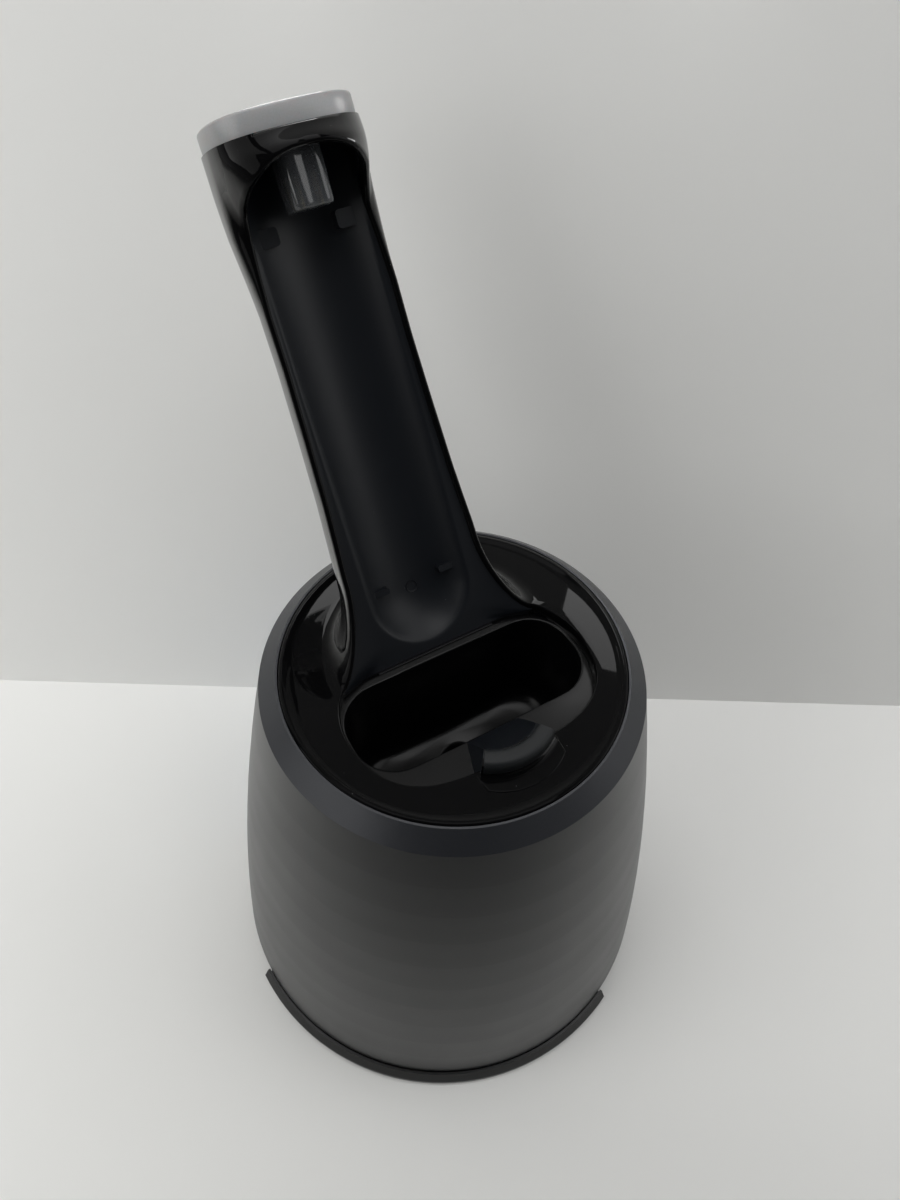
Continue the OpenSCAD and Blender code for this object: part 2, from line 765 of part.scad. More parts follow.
module upper_rest_pads() color("#1e2026") in_arm() intersection() {
    trough(chan_r);
    for (s = [-1, 1]) translate([s * pad_x, chan_depth, pad_z]) rotate([90, 0, 0])
        rounded_slab(2.4, 1.9, 0.8, chan_depth - chan_at(pad_x) + rest_rise);
}

module lower_rest_ribs() color("#1e2026") in_arm() intersection() {
    trough(chan_r);
    for (s = [-1, 1]) translate([s * rib_x, chan_depth, rib_z]) rotate([90, 0, 0])
        rounded_slab(2, 0.8, 0.6, chan_depth - chan_at(rib_x) + rest_rise);
}

module arm_screws() color("#8d8f92") in_arm()
    for (z = arm_screw_z) translate([0, 0, z]) rotate([-90, 0, 0]) {
        translate([0, 0, chan_depth + chan_t])
            cylinder(r = screw_r, h = arm_depth - arm_head_h - chan_depth - chan_t);
        translate([0, 0, arm_depth - arm_head_h]) cylinder(r = screw_head_r, h = arm_head_h - run);
    }

cable_r = 1;
cable_x = 6;
cable_y = chan_depth + chan_t + cable_r + 0.8;
cable_low = -12;

module arm_cable() color("#303236") in_arm() translate([cable_x, cable_y, cable_low])
    cylinder(r = cable_r, h = mouth_top - cable_low);

root_hw = 15.6;
root_y = bowl_y + bowl_hw + bowl_wall + run;
root_len = 21.5;
root_t = 6;
leg_w = 3;
leg_x = motor_r + leg_w / 2 + 1;
leg_y = hose_y + hose_r + 1.6;
leg_len = 5.6;
tongue_hw = 7;
tongue_y = 9.6;
tongue_t = 3.4;
tongue_h = 26;

module arm_root() color("#202124") difference() {
    union() {
        translate([-root_hw, root_y, deck_under - root_t])
            cube([2 * root_hw, root_len, root_t - 2 * run]);
        translate([-root_hw, neck_y + run, deck_under - root_t])
            cube([2 * root_hw, root_y + root_len - neck_y - run, root_t]);
        for (s = [-1, 1]) translate([s * leg_x - leg_w / 2, leg_y, chassis_top])
            cube([leg_w, leg_len, deck_under - root_t + eps - chassis_top]);
        in_arm() translate([-tongue_hw, tongue_y, -2]) cube([tongue_hw + 3, tongue_t, tongue_h]);
    }
    in_arm() translate([cable_x, cable_y, -far / 2]) cylinder(r = cable_r + 0.3, h = far);
}

// ---- head ----
plug_front = -9;
plug_back = 2;
plug_low = 97.9;
plug_hw_low = 4.5;
lobe_r = 2.6;
head_roof = 1.4;
switch_y = 2;
switch_hx = 9;
switch_hy = 6;
band_wall = 2.6;
band_floor = 1.6;
stem_drop = 0.6;
dome_z = head_top - stem_drop - start_travel - 0.4;

module head_housing() color("#0a0a0c") in_arm() difference() {
    intersection() {
        along_x(head_hw) head_side();
        head_plan(0, head_top - head_low, head_low);
    }
    channel_cut(chan_hw + 2 * run, chan_depth);
    translate([0, 0, head_low - eps]) linear_extrude(mouth_top - head_low + 2 * eps)
        polygon(arm_section(arm_hw_top, arm_depth, arm_wall));
    translate([0, switch_y, mouth_top + head_roof]) rounded_slab(switch_hx, switch_hy, 2, far);
}

module light_band() color("#b9bab8") in_arm() translate([0, 0, head_top]) difference() {
    head_plan(0.5, cap_h, 0);
    head_plan(band_wall, 2 * cap_h, band_floor);
    translate([0, switch_y, -eps]) rounded_slab(switch_hx, switch_hy, 2, far);
}

module start_button() color("#3c3e40") in_arm() {
    head_plan(band_wall + run, cap_h - band_floor - start_travel + run,
        head_top + band_floor + start_travel + 0.05);
    translate([0, switch_y, head_top - stem_drop])
        cylinder(r = 3, h = stem_drop + band_floor + start_travel + 2 * run);
}

module contact_plug() color("#4a4c50") in_arm() difference() {
    union() {
        translate([-plug_hw_low, plug_front + lobe_r, plug_low])
            cube([2 * plug_hw_low, plug_back - plug_front - lobe_r, mouth_top - plug_low]);
        for (s = [-1, 1]) translate([s * (plug_hw_low - lobe_r + 0.6), plug_front + lobe_r, plug_low])
            cylinder(r = lobe_r, h = mouth_top - plug_low);
    }
    for (s = [-1, 1]) translate([s * 2, -3, plug_low - eps]) cylinder(r = 0.8, h = 6);
}

module contact_pins() color("#d0b060") in_arm()
    for (s = [-1, 1]) translate([s * 2, -3, plug_low - 0.6]) cylinder(r = 0.7, h = 6.4);

module button_switch() color("#26272a") in_arm() translate([-3.1, switch_y - 3.1, mouth_top + head_roof])
    cube([6.2, 6.2, dome_z - mouth_top - head_roof]);

module button_dome() color("#b5b7ba") in_arm()
    translate([0, switch_y, dome_z]) cylinder(r = 2, h = 0.3);

// ---- cartridge ----
lid_t = 2;
port_r = 5;
cart_back = shell_at(cart_top) - 1.3;
grip_r = 14;
grip_depth = 1;
grip_w = 44;
filter_r = 9;

// The cartridge's outline: round in front, and its back follows the housing
module cartridge_plan(inset, h) {
    cylinder(r = cart_r - inset, h = h);
    intersection() {
        translate([-cart_r + inset, 0, 0]) cube([2 * (cart_r - inset), cart_back, h]);
        cylinder(r = cart_back - inset, h = h);
    }
}

module cartridge_tub() color("#2d4f6b") translate([0, 0, cart_z]) difference() {
    cartridge_plan(0, cart_h - lid_t);
    translate([0, 0, cart_wall]) cartridge_plan(cart_wall, cart_h);
    translate([0, cart_back + grip_r - grip_depth, (cart_h - lid_t) * 0.62])
        rotate([0, 90, 0]) cylinder(r = grip_r, h = grip_w, center = true);
}

module cartridge_lid() color("#38536b") translate([0, 0, cart_top - lid_t]) difference() {
    cartridge_plan(0, lid_t);
    for (y = [bowl_y, motor_y]) translate([0, y, -eps]) cylinder(r = port_r, h = lid_t + 2 * eps);
}

module port_seals() color("#8fa0ac") for (y = [bowl_y, motor_y])
    translate([0, y, cart_top - lid_t]) tube(port_r - 0.05, 2, lid_t);

module cartridge_filter() color("#d8d4c8") translate([0, bowl_y, cart_z + cart_wall])
    tube(filter_r, filter_r - 3, cart_h - lid_t - cart_wall);

// ---- pump rotor ----
blade_n = 6;
impeller_z = chassis_top + pump_floor + 0.6;
impeller_h = 5.4;

module motor_shaft() color("#c0c2c5") translate([0, motor_y, impeller_z])
    cylinder(r = shaft_r, h = motor_z + 10 - impeller_z);

module impeller() color("#e4e4e0") translate([0, motor_y, impeller_z]) {
    tube(3, shaft_r, impeller_h);
    tube(impeller_r, shaft_r, 1);
    for (i = [0:blade_n - 1]) rotate([0, 0, i * 360 / blade_n]) translate([2.6, -0.5, 0])
        cube([impeller_r - 3, 1, impeller_h]);
}

base_plate();
rubber_feet();
cartridge_guide();
guide_columns();
lift_springs();
base_screws();
latch_posts();
outer_shell();
shell_liner();
trim_ring();
top_deck();
bowl_seal();
wash_bowl();
pad_collar();
guide_pad();
chassis();
guide_sleeves();
housing_screws();
drain_funnel();
drain_seal();
suction_nozzle();
nozzle_seal();
pump_housing();
pump_cover();
pump_motor();
supply_hose();
main_board();
power_inlet();
inlet_pins();
button_leaf();
arm_root();
arm_front_shell();
arm_rear_shell();
arm_channel();
upper_rest_pads();
lower_rest_ribs();
arm_screws();
arm_cable();
head_housing();
light_band();
contact_plug();
contact_pins();
button_switch();
button_dome();
lift_button();
latch_bar();
latch_noses();
start_button();
cartridge_tub();
cartridge_lid();
port_seals();
cartridge_filter();
motor_shaft();
impeller();
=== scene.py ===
import math

import bmesh
import bpy
from mathutils import Matrix, Vector


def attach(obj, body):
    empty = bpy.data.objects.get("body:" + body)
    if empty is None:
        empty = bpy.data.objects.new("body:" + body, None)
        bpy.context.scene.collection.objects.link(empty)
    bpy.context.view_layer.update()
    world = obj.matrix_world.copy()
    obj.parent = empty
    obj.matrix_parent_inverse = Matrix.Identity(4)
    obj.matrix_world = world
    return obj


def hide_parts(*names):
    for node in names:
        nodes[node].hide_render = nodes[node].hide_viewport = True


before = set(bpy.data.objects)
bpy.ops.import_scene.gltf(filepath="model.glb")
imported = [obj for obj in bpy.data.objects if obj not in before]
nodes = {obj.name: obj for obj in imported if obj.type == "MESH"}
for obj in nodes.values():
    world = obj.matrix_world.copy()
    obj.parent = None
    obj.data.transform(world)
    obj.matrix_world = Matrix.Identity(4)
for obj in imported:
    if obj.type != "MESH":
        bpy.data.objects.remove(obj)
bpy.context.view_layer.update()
scene = bpy.context.scene
scene.view_settings.view_transform = "Standard"
mm = 0.001
weld = 0.00001  # corners nearer than this, in metres, are one

# where the photograph is taken from, in mm, and the ways its right, down and forward point
camera = {
    "place": (-67.74, -105.12, 310.52),
    "right": (0.8673, -0.4969, 0.0305),
    "down": (-0.3759, -0.6938, -0.6142),
    "forward": (0.3264, 0.5212, -0.7885),
    "lens": 28.5,
    "clip": (0.01, 20),
}


def makeCamera(spec):
    data = bpy.data.cameras.new("camera")
    data.lens = spec["lens"]
    data.clip_start, data.clip_end = spec["clip"]
    obj = bpy.data.objects.new("camera", data)
    scene.collection.objects.link(obj)
    axes = Matrix((spec["right"], [-v for v in spec["down"]], [-v for v in spec["forward"]]))
    obj.matrix_world = Matrix.Translation(Vector(spec["place"]) * mm) @ axes.transposed().to_4x4()
    scene.camera = obj


makeCamera(camera)


def addNode(tree, kind, at=(0, 0), **values):
    node = tree.nodes.new(kind)
    node.location = at
    for key, value in values.items():
        if hasattr(node, key):
            setattr(node, key, value)
        else:
            node.inputs[key.replace("_", " ")].default_value = value
    return node


def newGroup(name, inputs, outputs):
    tree = bpy.data.node_groups.new(name, "ShaderNodeTree")
    for label, kind, value in inputs:
        socket = tree.interface.new_socket(label, in_out="INPUT", socket_type=kind)
        socket.default_value = value
    for label, kind in outputs:
        tree.interface.new_socket(label, in_out="OUTPUT", socket_type=kind)
    return tree, addNode(tree, "NodeGroupInput", (-900, 0)), addNode(tree, "NodeGroupOutput", (700, 0))


def placePoint(tree):
    return addNode(tree, "ShaderNodeTexCoord", (-700, -200)).outputs["Object"]


def buildGrain():
    # fine spark-eroded texture, as a height, with a slow drift that varies the gloss
    inputs = [("Size", "NodeSocketFloat", 4000.0), ("Drift", "NodeSocketFloat", 60.0),
        ("Roughness", "NodeSocketFloat", 0.4), ("Spread", "NodeSocketFloat", 0.05)]
    outputs = [("Height", "NodeSocketFloat"), ("Roughness", "NodeSocketFloat")]
    tree, given, out = newGroup("mouldGrain", inputs, outputs)
    point = placePoint(tree)
    fine = addNode(tree, "ShaderNodeTexNoise", (-450, 100), Detail=3.0, Roughness=0.6)
    slow = addNode(tree, "ShaderNodeTexNoise", (-450, -200), Detail=2.0)
    tree.links.new(point, fine.inputs["Vector"])
    tree.links.new(point, slow.inputs["Vector"])
    tree.links.new(given.outputs["Size"], fine.inputs["Scale"])
    tree.links.new(given.outputs["Drift"], slow.inputs["Scale"])
    centred = addNode(tree, "ShaderNodeMath", (-200, -200), operation="SUBTRACT")
    centred.inputs[1].default_value = 0.5  # the noise's mean
    spread = addNode(tree, "ShaderNodeMath", (0, -200), operation="MULTIPLY")
    total = addNode(tree, "ShaderNodeMath", (200, -200), operation="ADD", use_clamp=True)
    tree.links.new(slow.outputs["Fac"], centred.inputs[0])
    tree.links.new(centred.outputs[0], spread.inputs[0])
    tree.links.new(given.outputs["Spread"], spread.inputs[1])
    tree.links.new(spread.outputs[0], total.inputs[0])
    tree.links.new(given.outputs["Roughness"], total.inputs[1])
    tree.links.new(fine.outputs["Fac"], out.inputs["Height"])
    tree.links.new(total.outputs[0], out.inputs["Roughness"])
    return tree


dustLimit = 0.52  # dust lies where the patches are brighter than this


def buildDust():
    # sparse pale specks, as a mask
    inputs = [("Scale", "NodeSocketFloat", 400.0), ("Amount", "NodeSocketFloat", 0.06)]
    tree, given, out = newGroup("dustSpecks", inputs, [("Mask", "NodeSocketFloat")])
    point = placePoint(tree)
    cells = addNode(tree, "ShaderNodeTexVoronoi", (-450, 100), Randomness=1.0)
    patches = addNode(tree, "ShaderNodeTexNoise", (-450, -200), Scale=45.0, Detail=2.0)
    tree.links.new(point, cells.inputs["Vector"])
    tree.links.new(point, patches.inputs["Vector"])
    tree.links.new(given.outputs["Scale"], cells.inputs["Scale"])
    near = addNode(tree, "ShaderNodeMath", (-200, 100), operation="LESS_THAN")
    tree.links.new(cells.outputs["Distance"], near.inputs[0])
    tree.links.new(given.outputs["Amount"], near.inputs[1])
    where = addNode(tree, "ShaderNodeMath", (-200, -200), operation="GREATER_THAN")
    where.inputs[1].default_value = dustLimit
    tree.links.new(patches.outputs["Fac"], where.inputs[0])
    both = addNode(tree, "ShaderNodeMath", (100, 0), operation="MULTIPLY")
    tree.links.new(near.outputs[0], both.inputs[0])
    tree.links.new(where.outputs[0], both.inputs[1])
    tree.links.new(both.outputs[0], out.inputs["Mask"])
    return tree


mouldGrain, dustSpecks = buildGrain(), buildDust()

# colours are linear; specular is the mirror seen straight on, edge the one at a glancing look
finishes = {
    "shellPaint": {"colour": (0.0046, 0.0049, 0.0054), "roughness": 0.36, "grain": 9000, "bump": 0.05,
        "dust": 0.03, "specular": 0.03, "edge": 0.95},
    "ringMetallic": {"colour": (0.016, 0.017, 0.020), "roughness": 0.34, "grain": 5200, "bump": 0.35,
        "metal": 0.35, "fleck": 0.10},
    "pianoBlack": {"colour": (0.0018, 0.0018, 0.0020), "roughness": 0.03, "grain": 200, "bump": 0.0,
        "spread": 0.03, "dust": 0.035, "specular": 0.03, "edge": 6.0, "power": 3.0},
    "bowlBlack": {"colour": (0.0016, 0.0016, 0.0018), "roughness": 0.24, "grain": 900, "bump": 0.02,
        "specular": 0.16},
    "armMatte": {"colour": (0.0044, 0.0053, 0.0070), "roughness": 0.40, "grain": 7000, "bump": 0.12,
        "dust": 0.025, "specular": 0.2},
    "padGrey": {"colour": (0.0058, 0.0068, 0.0078), "roughness": 0.5, "grain": 8000, "bump": 0.2,
        "specular": 0.25},
    "baseBlack": {"colour": (0.003, 0.003, 0.0033), "roughness": 0.24, "grain": 5000, "bump": 0.08,
        "dust": 0.04, "specular": 0.3},
    "footRubber": {"colour": (0.02, 0.02, 0.02), "roughness": 0.7, "grain": 3000, "bump": 0.3},
    "frameBlack": {"colour": (0.018, 0.018, 0.02), "roughness": 0.42, "grain": 4000, "bump": 0.15},
    "bandGrey": {"colour": (0.235, 0.237, 0.24), "roughness": 0.30, "grain": 3000, "bump": 0.03, "glow": 0.2},
    "plateGrey": {"colour": (0.12, 0.122, 0.125), "roughness": 0.34, "grain": 6000, "bump": 0.08},
    "plugSmoke": {"colour": (0.055, 0.059, 0.063), "roughness": 0.10, "grain": 600, "bump": 0.02,
        "clear": 0.35},
    "sealRubber": {"colour": (0.022, 0.022, 0.024), "roughness": 0.6, "grain": 3000, "bump": 0.2},
    "hoseGrey": {"colour": (0.28, 0.29, 0.30), "roughness": 0.38, "grain": 900, "bump": 0.05},
    "steel": {"colour": (0.56, 0.57, 0.58), "roughness": 0.28, "grain": 2500, "bump": 0.06, "metal": 1.0},
    "brassPin": {"colour": (0.78, 0.60, 0.30), "roughness": 0.25, "grain": 1500, "bump": 0.05, "metal": 1.0},
    "boardGreen": {"colour": (0.02, 0.13, 0.065), "roughness": 0.3, "grain": 1200, "bump": 0.1},
    "latchGrey": {"colour": (0.22, 0.23, 0.24), "roughness": 0.45, "grain": 4000, "bump": 0.1},
    "cartridgeBlue": {"colour": (0.03, 0.10, 0.21), "roughness": 0.35, "grain": 3500, "bump": 0.12,
        "dust": 0.03},
    "filterFelt": {"colour": (0.72, 0.70, 0.64), "roughness": 0.9, "grain": 1800, "bump": 0.6},
    "impellerWhite": {"colour": (0.76, 0.76, 0.73), "roughness": 0.36, "grain": 2500, "bump": 0.05},
}


# what a finish takes where it says nothing; the lifts set how pale its grain, flecks and dust are
finishBase = {"specular": 0.5, "power": 2.0, "spread": 0.08, "glowDepth": 0.003, "bumpDepth": 0.0001,
    "grainLift": 1.25, "fleckLift": 8, "dustLift": 0.12}
mixA, mixB, mixOut = 6, 7, 2  # the colour sockets of a mix node


def makeFinish(name, spec):
    base = finishBase
    material = bpy.data.materials.new(name)
    material.use_nodes = True
    tree = material.node_tree
    shader = tree.nodes["Principled BSDF"]
    shader.inputs["Metallic"].default_value = spec.get("metal", 0.0)
    shader.inputs["Transmission Weight"].default_value = spec.get("clear", 0.0)
    shader.inputs["Subsurface Weight"].default_value = spec.get("glow", 0.0)
    shader.inputs["Subsurface Scale"].default_value = base["glowDepth"]
    shader.inputs["Specular IOR Level"].default_value = spec.get("specular", base["specular"])
    if "edge" in spec:
        # a stronger mirror towards the edges than a plain plastic has
        slant = addNode(tree, "ShaderNodeLayerWeight", (-900, 0), Blend=0.5)
        steep = addNode(tree, "ShaderNodeMath", (-700, 0), operation="POWER")
        steep.inputs[1].default_value = spec.get("power", base["power"])
        level = addNode(tree, "ShaderNodeMapRange", (-500, 0))
        level.inputs["To Min"].default_value = spec["specular"]
        level.inputs["To Max"].default_value = spec["edge"]
        tree.links.new(slant.outputs["Facing"], steep.inputs[0])
        tree.links.new(steep.outputs[0], level.inputs["Value"])
        tree.links.new(level.outputs[0], shader.inputs["Specular IOR Level"])
    grain = addNode(tree, "ShaderNodeGroup", (-900, -200), node_tree=mouldGrain)
    grain.inputs["Size"].default_value = spec["grain"]
    grain.inputs["Roughness"].default_value = spec["roughness"]
    grain.inputs["Spread"].default_value = spec.get("spread", base["spread"])
    bump = addNode(tree, "ShaderNodeBump", (-300, -400), Strength=spec["bump"],
        Distance=base["bumpDepth"])
    tree.links.new(grain.outputs["Height"], bump.inputs["Height"])
    tree.links.new(bump.outputs["Normal"], shader.inputs["Normal"])
    tree.links.new(grain.outputs["Roughness"], shader.inputs["Roughness"])
    tone = addNode(tree, "ShaderNodeMix", (-600, 200), data_type="RGBA")
    lift = base["grainLift"] + base["fleckLift"] * spec.get("fleck", 0)
    tone.inputs[mixA].default_value = (*spec["colour"], 1)
    tone.inputs[mixB].default_value = [min(1, c * lift) for c in spec["colour"]] + [1]
    tree.links.new(grain.outputs["Height"], tone.inputs[0])
    colour = tone.outputs[mixOut]
    if "dust" in spec:
        mask = addNode(tree, "ShaderNodeGroup", (-900, 400), node_tree=dustSpecks)
        mask.inputs["Amount"].default_value = spec["dust"]
        mix = addNode(tree, "ShaderNodeMix", (-300, 300), data_type="RGBA")
        mix.inputs[mixB].default_value = [min(1, c + base["dustLift"]) for c in spec["colour"]] + [1]
        tree.links.new(mask.outputs["Mask"], mix.inputs[0])
        tree.links.new(colour, mix.inputs[mixA])
        colour = mix.outputs[mixOut]
    tree.links.new(colour, shader.inputs["Base Color"])
    return material


made = {name: makeFinish(name, spec) for name, spec in finishes.items()}
print("finishes:", len(made))


def lerp(a, b, t):
    return a + (b - a) * t


def ease(t):
    t = max(0.0, min(1.0, t))
    return t * t * (3 - 2 * t)


def table(points, at):
    # the value at a place in a table of (place, value), straight between its points
    if at <= points[0][0]:
        return points[0][1]
    for (z0, v0), (z1, v1) in zip(points, points[1:]):
        if at <= z1:
            return lerp(v0, v1, (at - z0) / (z1 - z0))
    return points[-1][1]


def makePiece(name, verts, faces, finish, body, replaced=(), sharp=40, flip=False):
    # corners are in mm; sharp is the angle from which an edge stays hard
    mesh = bpy.data.meshes.new(name)
    mesh.from_pydata([Vector(v) * mm for v in verts], [], faces)
    shape = bmesh.new()
    shape.from_mesh(mesh)
    bmesh.ops.remove_doubles(shape, verts=shape.verts, dist=weld)
    bmesh.ops.recalc_face_normals(shape, faces=shape.faces)
    if flip:
        bmesh.ops.reverse_faces(shape, faces=shape.faces)
    shape.to_mesh(mesh)
    shape.free()
    mesh.polygons.foreach_set("use_smooth", [True] * len(mesh.polygons))
    mesh.set_sharp_from_angle(angle=math.radians(sharp))
    mesh.materials.append(made[finish])
    obj = bpy.data.objects.new(name, mesh)
    scene.collection.objects.link(obj)
    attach(obj, body)
    if replaced:
        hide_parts(*replaced)
    print(name, len(mesh.polygons), "faces")
    return obj


def gridFaces(rows, cols, closed=False):
    faces = []
    for i in range(rows - 1):
        for j in range(cols if closed else cols - 1):
            a, b = i * cols + j, i * cols + (j + 1) % cols
            faces.append([a, b, b + cols, a + cols])
    return faces


def loftRings(rings, capLow=False, capHigh=False):
    verts = [p for ring in rings for p in ring]
    cols = len(rings[0])
    faces = gridFaces(len(rings), cols, True)
    if capLow:
        faces.append(list(range(cols))[::-1])
    if capHigh:
        faces.append(list(range((len(rings) - 1) * cols, len(rings) * cols)))
    return verts, faces


# the arm in its own frame: z runs up it from the deck, y points out of its back;
# side, back, lip and frontHigh are (height, distance), rim is (angle, height, distance)
armSpec = {
    "lean": math.radians(35.4), "footY": 8.8, "deckZ": 126.4, "centreY": 3.0,
    "power": [(0, 2.1), (84, 2.1), (100, 2.5)],
    "side": [(0, 18.5), (14, 17.9), (22.7, 17.5), (30.6, 16.95), (38.4, 16.4), (53.6, 15.8),
        (68, 15.35), (80, 15.35), (88, 15.75), (96, 16.25), (104, 16.35), (112, 16.2)],
    "back": [(0, 13.0), (80, 13.0), (96, 13.6), (112, 13.4)],
    "lip": [(0, 18.2), (14, 17.5), (22.7, 17.2), (30.6, 16.6), (38.4, 16.1), (53.6, 15.5),
        (68, 15.05), (80, 15.05), (89, 14.55), (96, 13.95)],
    "frontHigh": [(96, 16.0), (104, 15.9), (108, 15.6), (112, 13.7)],
    "rim": [(-90, 108.0, 15.6), (-75, 107.8, 16.4), (-61.5, 106.8, 17.1), (-50.7, 105.0, 17.2),
        (-39.4, 103.2, 16.7), (-28.9, 101.2, 15.6), (-22.9, 100.1, 15.0), (-12.14, 96.0, 14.27)],
    "headTop": 112.0, "mouthStart": 96.0,
}


def armToWorld(x, y, z):
    c, s = math.cos(armSpec["lean"]), math.sin(armSpec["lean"])
    return Vector((x, armSpec["footY"] + y * c + z * s, armSpec["deckZ"] - y * s + z * c))


def sectionRadius(angle, side, deep, z):
    # polar radius of a rounded-square outline with half width side and half depth deep
    n = table(armSpec["power"], z)
    return (abs(math.cos(angle) / side) ** n + abs(math.sin(angle) / deep) ** n) ** (-1 / n)


def rimAt(angle):
    # height and radius of the mouth's edge, by angle from the side
    rows = [(a, z) for a, z, r in armSpec["rim"]], [(a, r) for a, z, r in armSpec["rim"]]
    return table(rows[0], angle), table(rows[1], angle)


skinSpec = {
    "lipAngle": -12.14, "lipBulge": 2.2, "hoodBulge": 2.4, "headLow": 80.0,
    "frontCols": 5, "backCols": 28, "hoodCols": 24, "openCols": 48, "fadeCols": 5,
    "flareRows": 9, "armRows": 16, "headRows": 8, "topRows": 9, "deckRows": 9,
    "topTurn": [(0.15, -0.02), (0.35, 0.08), (0.5, 0.5)],  # (inward, down) from the head's top edge
}


def columnAngles():
    s = skinSpec
    front = [s["lipAngle"] * (1 - i / s["frontCols"]) for i in range(s["frontCols"])]
    back = [180 * i / s["backCols"] for i in range(s["backCols"])]
    right = front + back
    return [math.radians(a) for a in right] + [math.radians(180 - a) for a in reversed(front + [0])]


def skinPoint(angle, z):
    # a point of the arm's skin, in the arm's own frame; angle 0 is its right side, 90 its back
    spec = armSpec
    side, back = table(spec["side"], z), table(spec["back"], z)
    a = angle if angle <= math.pi / 2 else math.pi - angle
    if a >= 0:
        r = sectionRadius(a, side, back, z)
    else:
        share = a / math.radians(skinSpec["lipAngle"])
        if z <= spec["mouthStart"]:
            edge = table(spec["lip"], z)
            lip, lipAngle = math.hypot(edge, spec["centreY"]), -math.atan2(spec["centreY"], edge)
            full = side / math.cos(share * lipAngle)
        else:
            t = (z - spec["mouthStart"]) / (spec["headTop"] - spec["mouthStart"])
            lipAngle = math.radians(skinSpec["lipAngle"])
            full = sectionRadius(share * lipAngle, side, table(spec["frontHigh"], z), z)
            lipFull = sectionRadius(lipAngle, side, table(spec["frontHigh"], z), z)
            lip = lerp(rimAt(skinSpec["lipAngle"])[1], lipFull, 1 - (1 - t) ** skinSpec["hoodBulge"])
        a = share * lipAngle
        r = lerp(full, lip, share ** skinSpec["lipBulge"])
    x, y = r * math.cos(a), spec["centreY"] + r * math.sin(a)
    return (x if angle <= math.pi / 2 else -x, y, z)


def hoodPoint(angle, t):
    # a point of the hood over the mouth; t runs from the mouth's edge to the head's top
    spec = armSpec
    degrees = math.degrees(angle)
    fold = degrees if degrees >= -90 else -180 - degrees
    low, rimR = rimAt(fold)
    z = lerp(low, spec["headTop"], t)
    full = sectionRadius(angle, table(spec["side"], z), table(spec["frontHigh"], z), z)
    r = lerp(rimR, full, 1 - (1 - t) ** skinSpec["hoodBulge"])
    return (r * math.cos(angle), spec["centreY"] + r * math.sin(angle), z)


# outline of the deck's opening ahead of the arm, from the right lip to the front, in the deck's plane
openingHalf = [(26.4, 6.6), (28.2, 4.3), (29.9, 0.6), (31.0, -3.6), (31.2, -8.0), (30.4, -13.0),
    (28.6, -18.0), (25.6, -21.8), (22.0, -24.3), (17.5, -26.0), (11.5, -27.0), (5.5, -27.3), (0, -27.4)]
pathSteps = 12  # points of the curve between two points of an outline


def smoothPath(points, count):
    # evenly spaced points of a Catmull-Rom curve through the points given
    fine = []
    ends = [points[0]] + list(points) + [points[-1]]
    for i in range(1, len(ends) - 2):
        p0, p1, p2, p3 = (Vector(ends[k]) for k in (i - 1, i, i + 1, i + 2))
        for k in range(pathSteps):
            t = k / pathSteps
            fine.append(0.5 * (2 * p1 + (p2 - p0) * t + (2 * p0 - 5 * p1 + 4 * p2 - p3) * t * t
                + (3 * p1 - p0 - 3 * p2 + p3) * t ** 3))
    fine.append(Vector(points[-1]))
    lengths = [0]
    for a, b in zip(fine, fine[1:]):
        lengths.append(lengths[-1] + (b - a).length)
    out, k = [], 0
    for i in range(count + 1):
        goal = lengths[-1] * i / count
        while k < len(fine) - 2 and lengths[k + 1] < goal:
            k += 1
        span = lengths[k + 1] - lengths[k]
        out.append(fine[k].lerp(fine[k + 1], 0 if span == 0 else (goal - lengths[k]) / span))
    return out


deckSpec = {"outer": 40.9, "lipR": 39.5, "dish": 0.5, "edgeDrop": 0.25, "height": 126.4, "step": 0.3,
    "round": 0.25, "skirt": 2.6}


def deckHeight(r):
    # the deck is dished, with a small step up to its rim
    s = deckSpec
    if r >= s["lipR"]:
        return s["height"]
    if r >= s["lipR"] - s["step"]:
        up = (r - s["lipR"] + s["step"]) / s["step"]
        return lerp(s["height"] - s["edgeDrop"], s["height"], up)
    return s["height"] - s["dish"] + (s["dish"] - s["edgeDrop"]) * (r / (s["lipR"] - s["step"])) ** 2


flareSpec = {"centre": (0, 15.0), "lipReach": 8.6, "sideReach": 6.0, "backReach": 4.0, "lipRise": 19.0,
    "sideRise": 8.0, "backRise": 5.0, "lipPull": 4.2, "lipDrop": 8.0, "handle": 0.55, "lipSpan": 60,
    "backFrom": 30, "backSpan": 60}


def footPoints(angle):
    # one column of the flare: how far up the arm it starts, and the four handles of its curve to the deck
    spec, flare = armSpec, flareSpec
    z = 0
    for k in range(3):
        z = max(0, skinPoint(angle, z)[1] * math.tan(spec["lean"]))
    corner = armToWorld(*skinPoint(angle, z))
    a = angle if angle <= math.pi / 2 else math.pi - angle
    fromLip = (a - math.radians(skinSpec["lipAngle"])) / math.radians(flare["lipSpan"])
    towardLip = ease(1 - fromLip)
    towardBack = ease((a - math.radians(flare["backFrom"])) / math.radians(flare["backSpan"]))
    reach = lerp(lerp(flare["sideReach"], flare["lipReach"], towardLip), flare["backReach"], towardBack)
    rise = lerp(lerp(flare["sideRise"], flare["lipRise"], towardLip), flare["backRise"], towardBack)
    pull = lerp(flare["handle"] * reach, flare["lipPull"], towardLip)
    drop = lerp(flare["handle"] * rise, flare["lipDrop"], towardLip)
    away = Vector((corner.x - flare["centre"][0], corner.y - flare["centre"][1], 0)).normalized()
    end = corner + away * reach
    end.z = deckHeight(math.hypot(end.x, end.y))
    return z + rise, [end, end - away * pull, armToWorld(*skinPoint(angle, z + rise - drop)),
        armToWorld(*skinPoint(angle, z + rise))]


